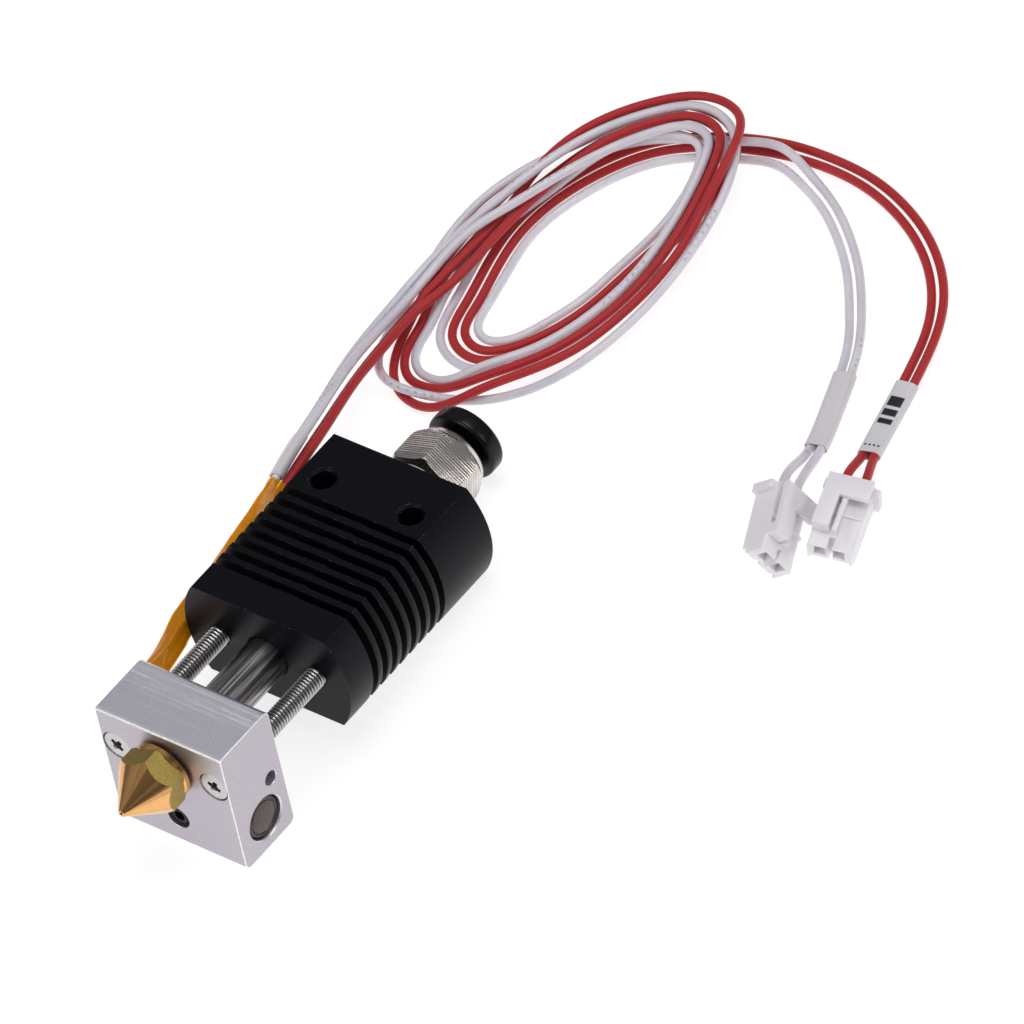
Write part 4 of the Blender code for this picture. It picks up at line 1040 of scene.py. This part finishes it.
def fitting():
    """Nickel push-fit fitting and the black release collar that slides in it."""
    body = spun(((3.4, 61.6), (4.35, 61.6), (4.6, 61.5), (4.78, 61.2), (4.9, 60.75), (5.05, 60.45),
                 (5.3, 60.2), (5.55, 59.9), (5.72, 59.5), (5.78, 59.1), (5.78, 55.4), (5.6, 55.0),
                 (5.2, 54.75), (4.7, 54.65), (4.3, 54.4), (4.1, 53.9), (4.1, 53.0), (4.0, 52.3),
                 (2.95, 52.25), (2.95, 45.9), (2.7, 45.6), (2.3, 45.6), (2.3, 54.4), (1.2, 54.4),
                 (1.2, 55.4), (2.3, 56.2), (3.4, 56.2)), closed=True, steps=128)
    cut(body, hexagon(10.0, 44.0, 63.0, 19.0), "INTERSECT")
    eased(body, 0.06, 30.0)
    piece(body, "fitting_shell", NICKEL, ("fitting_body",), sharp=28.0)
    collar = spun(((2.55, 65.15), (2.75, 65.2), (3.3, 65.2), (3.5, 65.08), (4.3, 65.08), (4.5, 65.2),
                   (4.75, 65.18), (5.0, 65.1), (5.12, 64.9), (5.15, 64.6), (5.15, 63.3), (5.1, 63.0),
                   (4.95, 62.8), (4.7, 62.7), (2.95, 62.7), (2.95, 60.2), (2.75, 60.0), (2.2, 60.0),
                   (2.2, 64.8)), closed=True, steps=128)
    for half_x, half_z in ((4.0, 0.25), (0.25, 4.0)):
        cut(collar, box((-half_x, 59.0, -half_z), (half_x, 61.8, half_z)))
    piece(collar, "collar_ring", COLLAR_BLACK, ("release_collar",), body="release_collar")


# ---------------------------------------------------------------- wires, sleeves, tape
def evenly(path, spacing):
    """Points along a path at an even spacing."""
    line = np.asarray(path, dtype=float)
    run = run_along(line)
    at = np.linspace(0.0, run[-1], max(2, int(run[-1] / spacing)))
    return np.stack([np.interp(at, run, line[:, k]) for k in range(3)], axis=1)


def shell(name, path, outer, wall, level=False):
    """An open-ended tube with a wall; outer(i, centre, side, top, grow) gives a ring of points."""
    line, _, sides, tops = path_frames(path, level)
    run = run_along(line)
    there = range(len(line))
    order = [(i, 0.0) for i in there] + [(i, -wall) for i in reversed(there)]
    rings = [outer(i, line[i], sides[i], tops[i], grow) for i, grow in order]
    return tube(name, rings, [run[i] for i, _ in order], closed=True)


def stadium(radius, spread, turn, count=40):
    """A round ring widened by spread to both sides and turned, its points evenly spaced round it."""
    quarter = math.pi * radius / 2 + spread

    def ring(i, centre, side, top, grow):
        points = []
        for k in range(count):
            part, along = divmod(4.0 * (k + 0.5) / count, 1.0)
            run = along * quarter if part % 2 == 0 else (1.0 - along) * quarter
            angle = min(run / radius, math.pi / 2)
            u = (radius + grow) * math.cos(angle) + spread - max(0.0, run - math.pi * radius / 2)
            v = (radius + grow) * math.sin(angle)
            u = -u if part in (1, 2) else u
            v = -v if part in (2, 3) else v
            points.append(centre + side * (u * math.cos(turn) - v * math.sin(turn))
                          + top * (u * math.sin(turn) + v * math.cos(turn)))
        return points
    return ring


WIRES = ("thermistor_wire_a", "thermistor_wire_b", "heater_wire_a", "heater_wire_b")
TAPE_START = (-14.3, -15.4, 9.7)
TAPE_END = 16.9
TAPE_STEPS = 48
TAPE_WALL = 0.05
curves = [smooth_curve(wire_route(wire)) for wire in range(len(WIRES))]


def tape_piece():
    """Amber tape pulled tight round the four wires."""
    middle = smooth_curve([TAPE_START] + [row[:3] for row in PACK], 400)
    path = evenly(middle[middle[:, 1] < TAPE_END], 0.35)
    near = [[curve[np.abs(curve[:300, 1] - here[1]).argmin()] for curve in curves] for here in path]
    run = run_along(path)
    step = 2.0 * math.pi / TAPE_STEPS

    def ring(i, centre, side, top, grow):
        spots = [((p - centre) @ side, (p - centre) @ top) for p in near[i]]
        away = [(math.cos(k * step), math.sin(k * step)) for k in range(TAPE_STEPS)]
        reach = [max(u * x + v * y for u, v in spots) + WIRE_RADIUS + 0.11 for x, y in away]
        points = []
        for k, (x, y) in enumerate(away):
            slope = (reach[(k + 1) % TAPE_STEPS] - reach[k - 1]) / (2.0 * step)
            u = reach[k] * x - slope * y
            v = reach[k] * y + slope * x
            seam = (run[i] / 6.5 + k / TAPE_STEPS) % 1.0
            swell = 1.0 + 0.035 * seam + 0.012 * math.sin(3.0 * k * step + run[i] * 1.3)
            scale = swell + grow / math.hypot(u, v)
            points.append(centre + side * (u * scale) + top * (v * scale))
        return points
    obj = shell("tape_wrap", path, ring, TAPE_WALL)
    return piece(obj, "tape_wrap", AMBER, ("kapton_tape",), place=UPRIGHT, sharp=50.0)


def sleeve_piece(name, node, path, look, spread, turn, radius, wall):
    """A sleeve over a pair of wires."""
    dense = evenly(smooth_curve(path, 200), 0.3)
    obj = shell(name, dense, stadium(radius, spread, math.radians(turn)), wall, level=True)
    return piece(obj, name, look, (node,), place=UPRIGHT)


def wiring():
    """Four wires and the sleeves, tape and plugs on them."""
    white, red = curves[:2], curves[2:]
    tape = tape_piece()
    upper = sleeve_piece("pair_sleeve", "thermistor_wire_sleeve", between(*white, 17.2, 24.0, 0.0),
                         WHITE_TUBE, 0.70, 49.0, 0.80, 0.14)
    lower = sleeve_piece("white_plug_sleeve", "thermistor_plug_sleeve", between(*white, 55.3, 66.9, 0.85),
                         WHITE_TUBE, 0.75, 0.0, 0.86, 0.16)
    label = sleeve_piece("label_sleeve", "heater_label_sleeve", between(*red, 56.8, 69.0, 0.85),
                         LABEL_TUBE, 0.75, 0.0, 0.86, 0.16)
    leads = lead_sleeve()
    plugs = {kind: plug_housing(kind) for kind in PLUGS}
    for node, curve in zip(WIRES, curves):
        path = evenly(curve, 0.55)
        look, slot = (RED_BRAID, "red_wire") if "heater" in node else (WHITE_INSULATION, "white_wire")
        obj = round_bar(f"{node}_run", path, WIRE_RADIUS)
        piece(obj, f"{node}_run", look, (node,), place=UPRIGHT)


def lead_sleeve():
    """Pale braid over the thermistor's bare leads."""
    paths = []
    for index, spread in enumerate((0.3, -0.3)):
        bend = laid_point((-11.4, THERMISTOR_AT[1], THERMISTOR_AT[2] + spread))
        x, _, z = pack_point(PACK[0], index)
        paths.append(smooth_curve((bend, (-12.9, -20.4, 10.15 + spread), (x, -18.2, z), (x, -16.6, z)), 40))
    middle = (paths[0] + paths[1])[:22] / 2.0
    obj = shell("lead_braid", evenly(middle, 0.25), stadium(0.92, 0.0, 0.0, 28), 0.14)
    return piece(obj, "lead_braid", PALE_BRAID, ("thermistor_lead_sleeve",), place=UPRIGHT)


def plug_housing(kind):
    """A white two-way housing: lipped wire end, raised latch plate and ribs, and two stepped sockets."""
    origin, across, forward, out = plug_frame(kind)
    place = Matrix((across, forward, out)).transposed().to_4x4()
    place.translation = origin * MM
    half = PLUG_HALF_WIDTH
    body = box((-half, 0.0, -2.75), (half, PLUG_LENGTH, 0.95), "y", 0.25, 4)
    for raised in (
            ((-FLANGE_HALF_WIDTH, 0.0, -2.85), (FLANGE_HALF_WIDTH, 1.15, 0.5), "y", 0.3, 4),
            ((-half, 0.25, 1.85), (half, 3.3, 2.8), "x", 0.25, 4),
            ((0.75, 0.25, 1.85), (half, 8.2, 2.8), "x", 0.25, 4),
            ((-0.3, 0.6, 0.5), (0.3, 8.2, 2.1)),
            ((-half, 4.9, 0.5), (half, 5.5, 1.2), "x", 0.1, 3),
            ((0.75, 6.6, 0.5), (half, 8.2, 2.2))):
        cut(body, box(*raised), "UNION")
    for x in (-CAVITY_PITCH / 2, CAVITY_PITCH / 2):
        cut(body, box((x - 0.78, -1.0, -0.78), (x + 0.78, 12.0, 0.78)))
        cut(body, box((x - 0.78, -1.0, 0.0), (x + 0.78, 2.4, 1.56)))
        cut(body, box((x - 1.35, 9.9, -2.0), (x + 1.35, 12.0, -1.4)))
    cut(body, box((-0.4, 8.7, -4.0), (0.4, 12.0, 4.0)))
    cut(body, box((-4.0, 9.6, -3.5), (4.0, 12.0, -1.9)))
    eased(body, 0.09)
    return piece(body, f"{kind}_plug", NYLON, (f"{kind}_plug_housing",), place=place)


heater_block()
nozzle()
heat_break()
heat_sink()
screws()
cartridge()
fitting()
wiring()
for node, look in (
        ("ptfe_liner", PTFE), ("cartridge_core", CERAMIC), ("cartridge_seal", CERAMIC),
        ("thermistor_bead", BEAD_GLASS), ("thermistor_splice_a", SPLICE), ("thermistor_splice_b", SPLICE),
        ("fitting_o_ring", SEAL_BLACK), ("fitting_lock_claw", CONTACT),
        ("thermistor_plug_contact_a", CONTACT), ("thermistor_plug_contact_b", CONTACT),
        ("heater_plug_contact_a", CONTACT), ("heater_plug_contact_b", CONTACT)):
    keep(node, look)


# ---------------------------------------------------------------- table and light
def table():
    """A plain white table."""
    bm = bmesh.new()
    bmesh.ops.create_grid(bm, x_segments=1, y_segments=1, size=3.0)
    mesh = bpy.data.meshes.new("table")
    bm.to_mesh(mesh)
    bm.free()
    obj = linked("table", mesh)
    look = Look("white_table", (0.35, 0.35, 0.35), 0.9, 0.0, {"Specular IOR Level": 0.0})
    look.put("Emission Color", (1.0, 1.0, 1.0, 1.0))
    look.put("Emission Strength", 0.80)
    obj.data.materials.append(look.mat)


def area_light(name, at, target, size, power):
    """A square soft light aimed at a point."""
    data = bpy.data.lights.new(name, "AREA")
    data.shape = "SQUARE"
    data.size = size
    data.energy = power
    obj = bpy.data.objects.new(name, data)
    bpy.context.scene.collection.objects.link(obj)
    aim = (Vector(target) - Vector(at)).to_track_quat("-Z", "Y")
    obj.matrix_world = Matrix.LocRotScale(Vector(at), aim, None)


def studio():
    """White world, darker near the horizon."""
    world = bpy.data.worlds.new("studio")
    world.use_nodes = True
    bpy.context.scene.world = world
    tree = world.node_tree
    place = tree.nodes.new("ShaderNodeTexCoord")
    split = tree.nodes.new("ShaderNodeSeparateXYZ")
    ramp = tree.nodes.new("ShaderNodeValToRGB")
    tree.links.new(place.outputs["Generated"], split.inputs[0])
    tree.links.new(split.outputs[2], ramp.inputs[0])
    ramp.color_ramp.elements[0].position = 0.05
    ramp.color_ramp.elements[0].color = (0.16, 0.16, 0.17, 1.0)
    ramp.color_ramp.elements[1].position = 0.75
    ramp.color_ramp.elements[1].color = (0.85, 0.86, 0.9, 1.0)
    background = tree.nodes["Background"]
    tree.links.new(ramp.outputs[0], background.inputs["Color"])
    background.inputs["Strength"].default_value = 0.42


table()
studio()
area_light("key", (-0.25, -0.85, 0.55), (0.0, -0.01, 0.01), 0.35, 2.6)
area_light("top", (0.15, 0.25, 1.1), (0.0, 0.02, 0.0), 0.6, 4.0)
area_light("side", (0.9, 0.25, 0.5), (0.0, 0.0, 0.01), 0.4, 1.6)
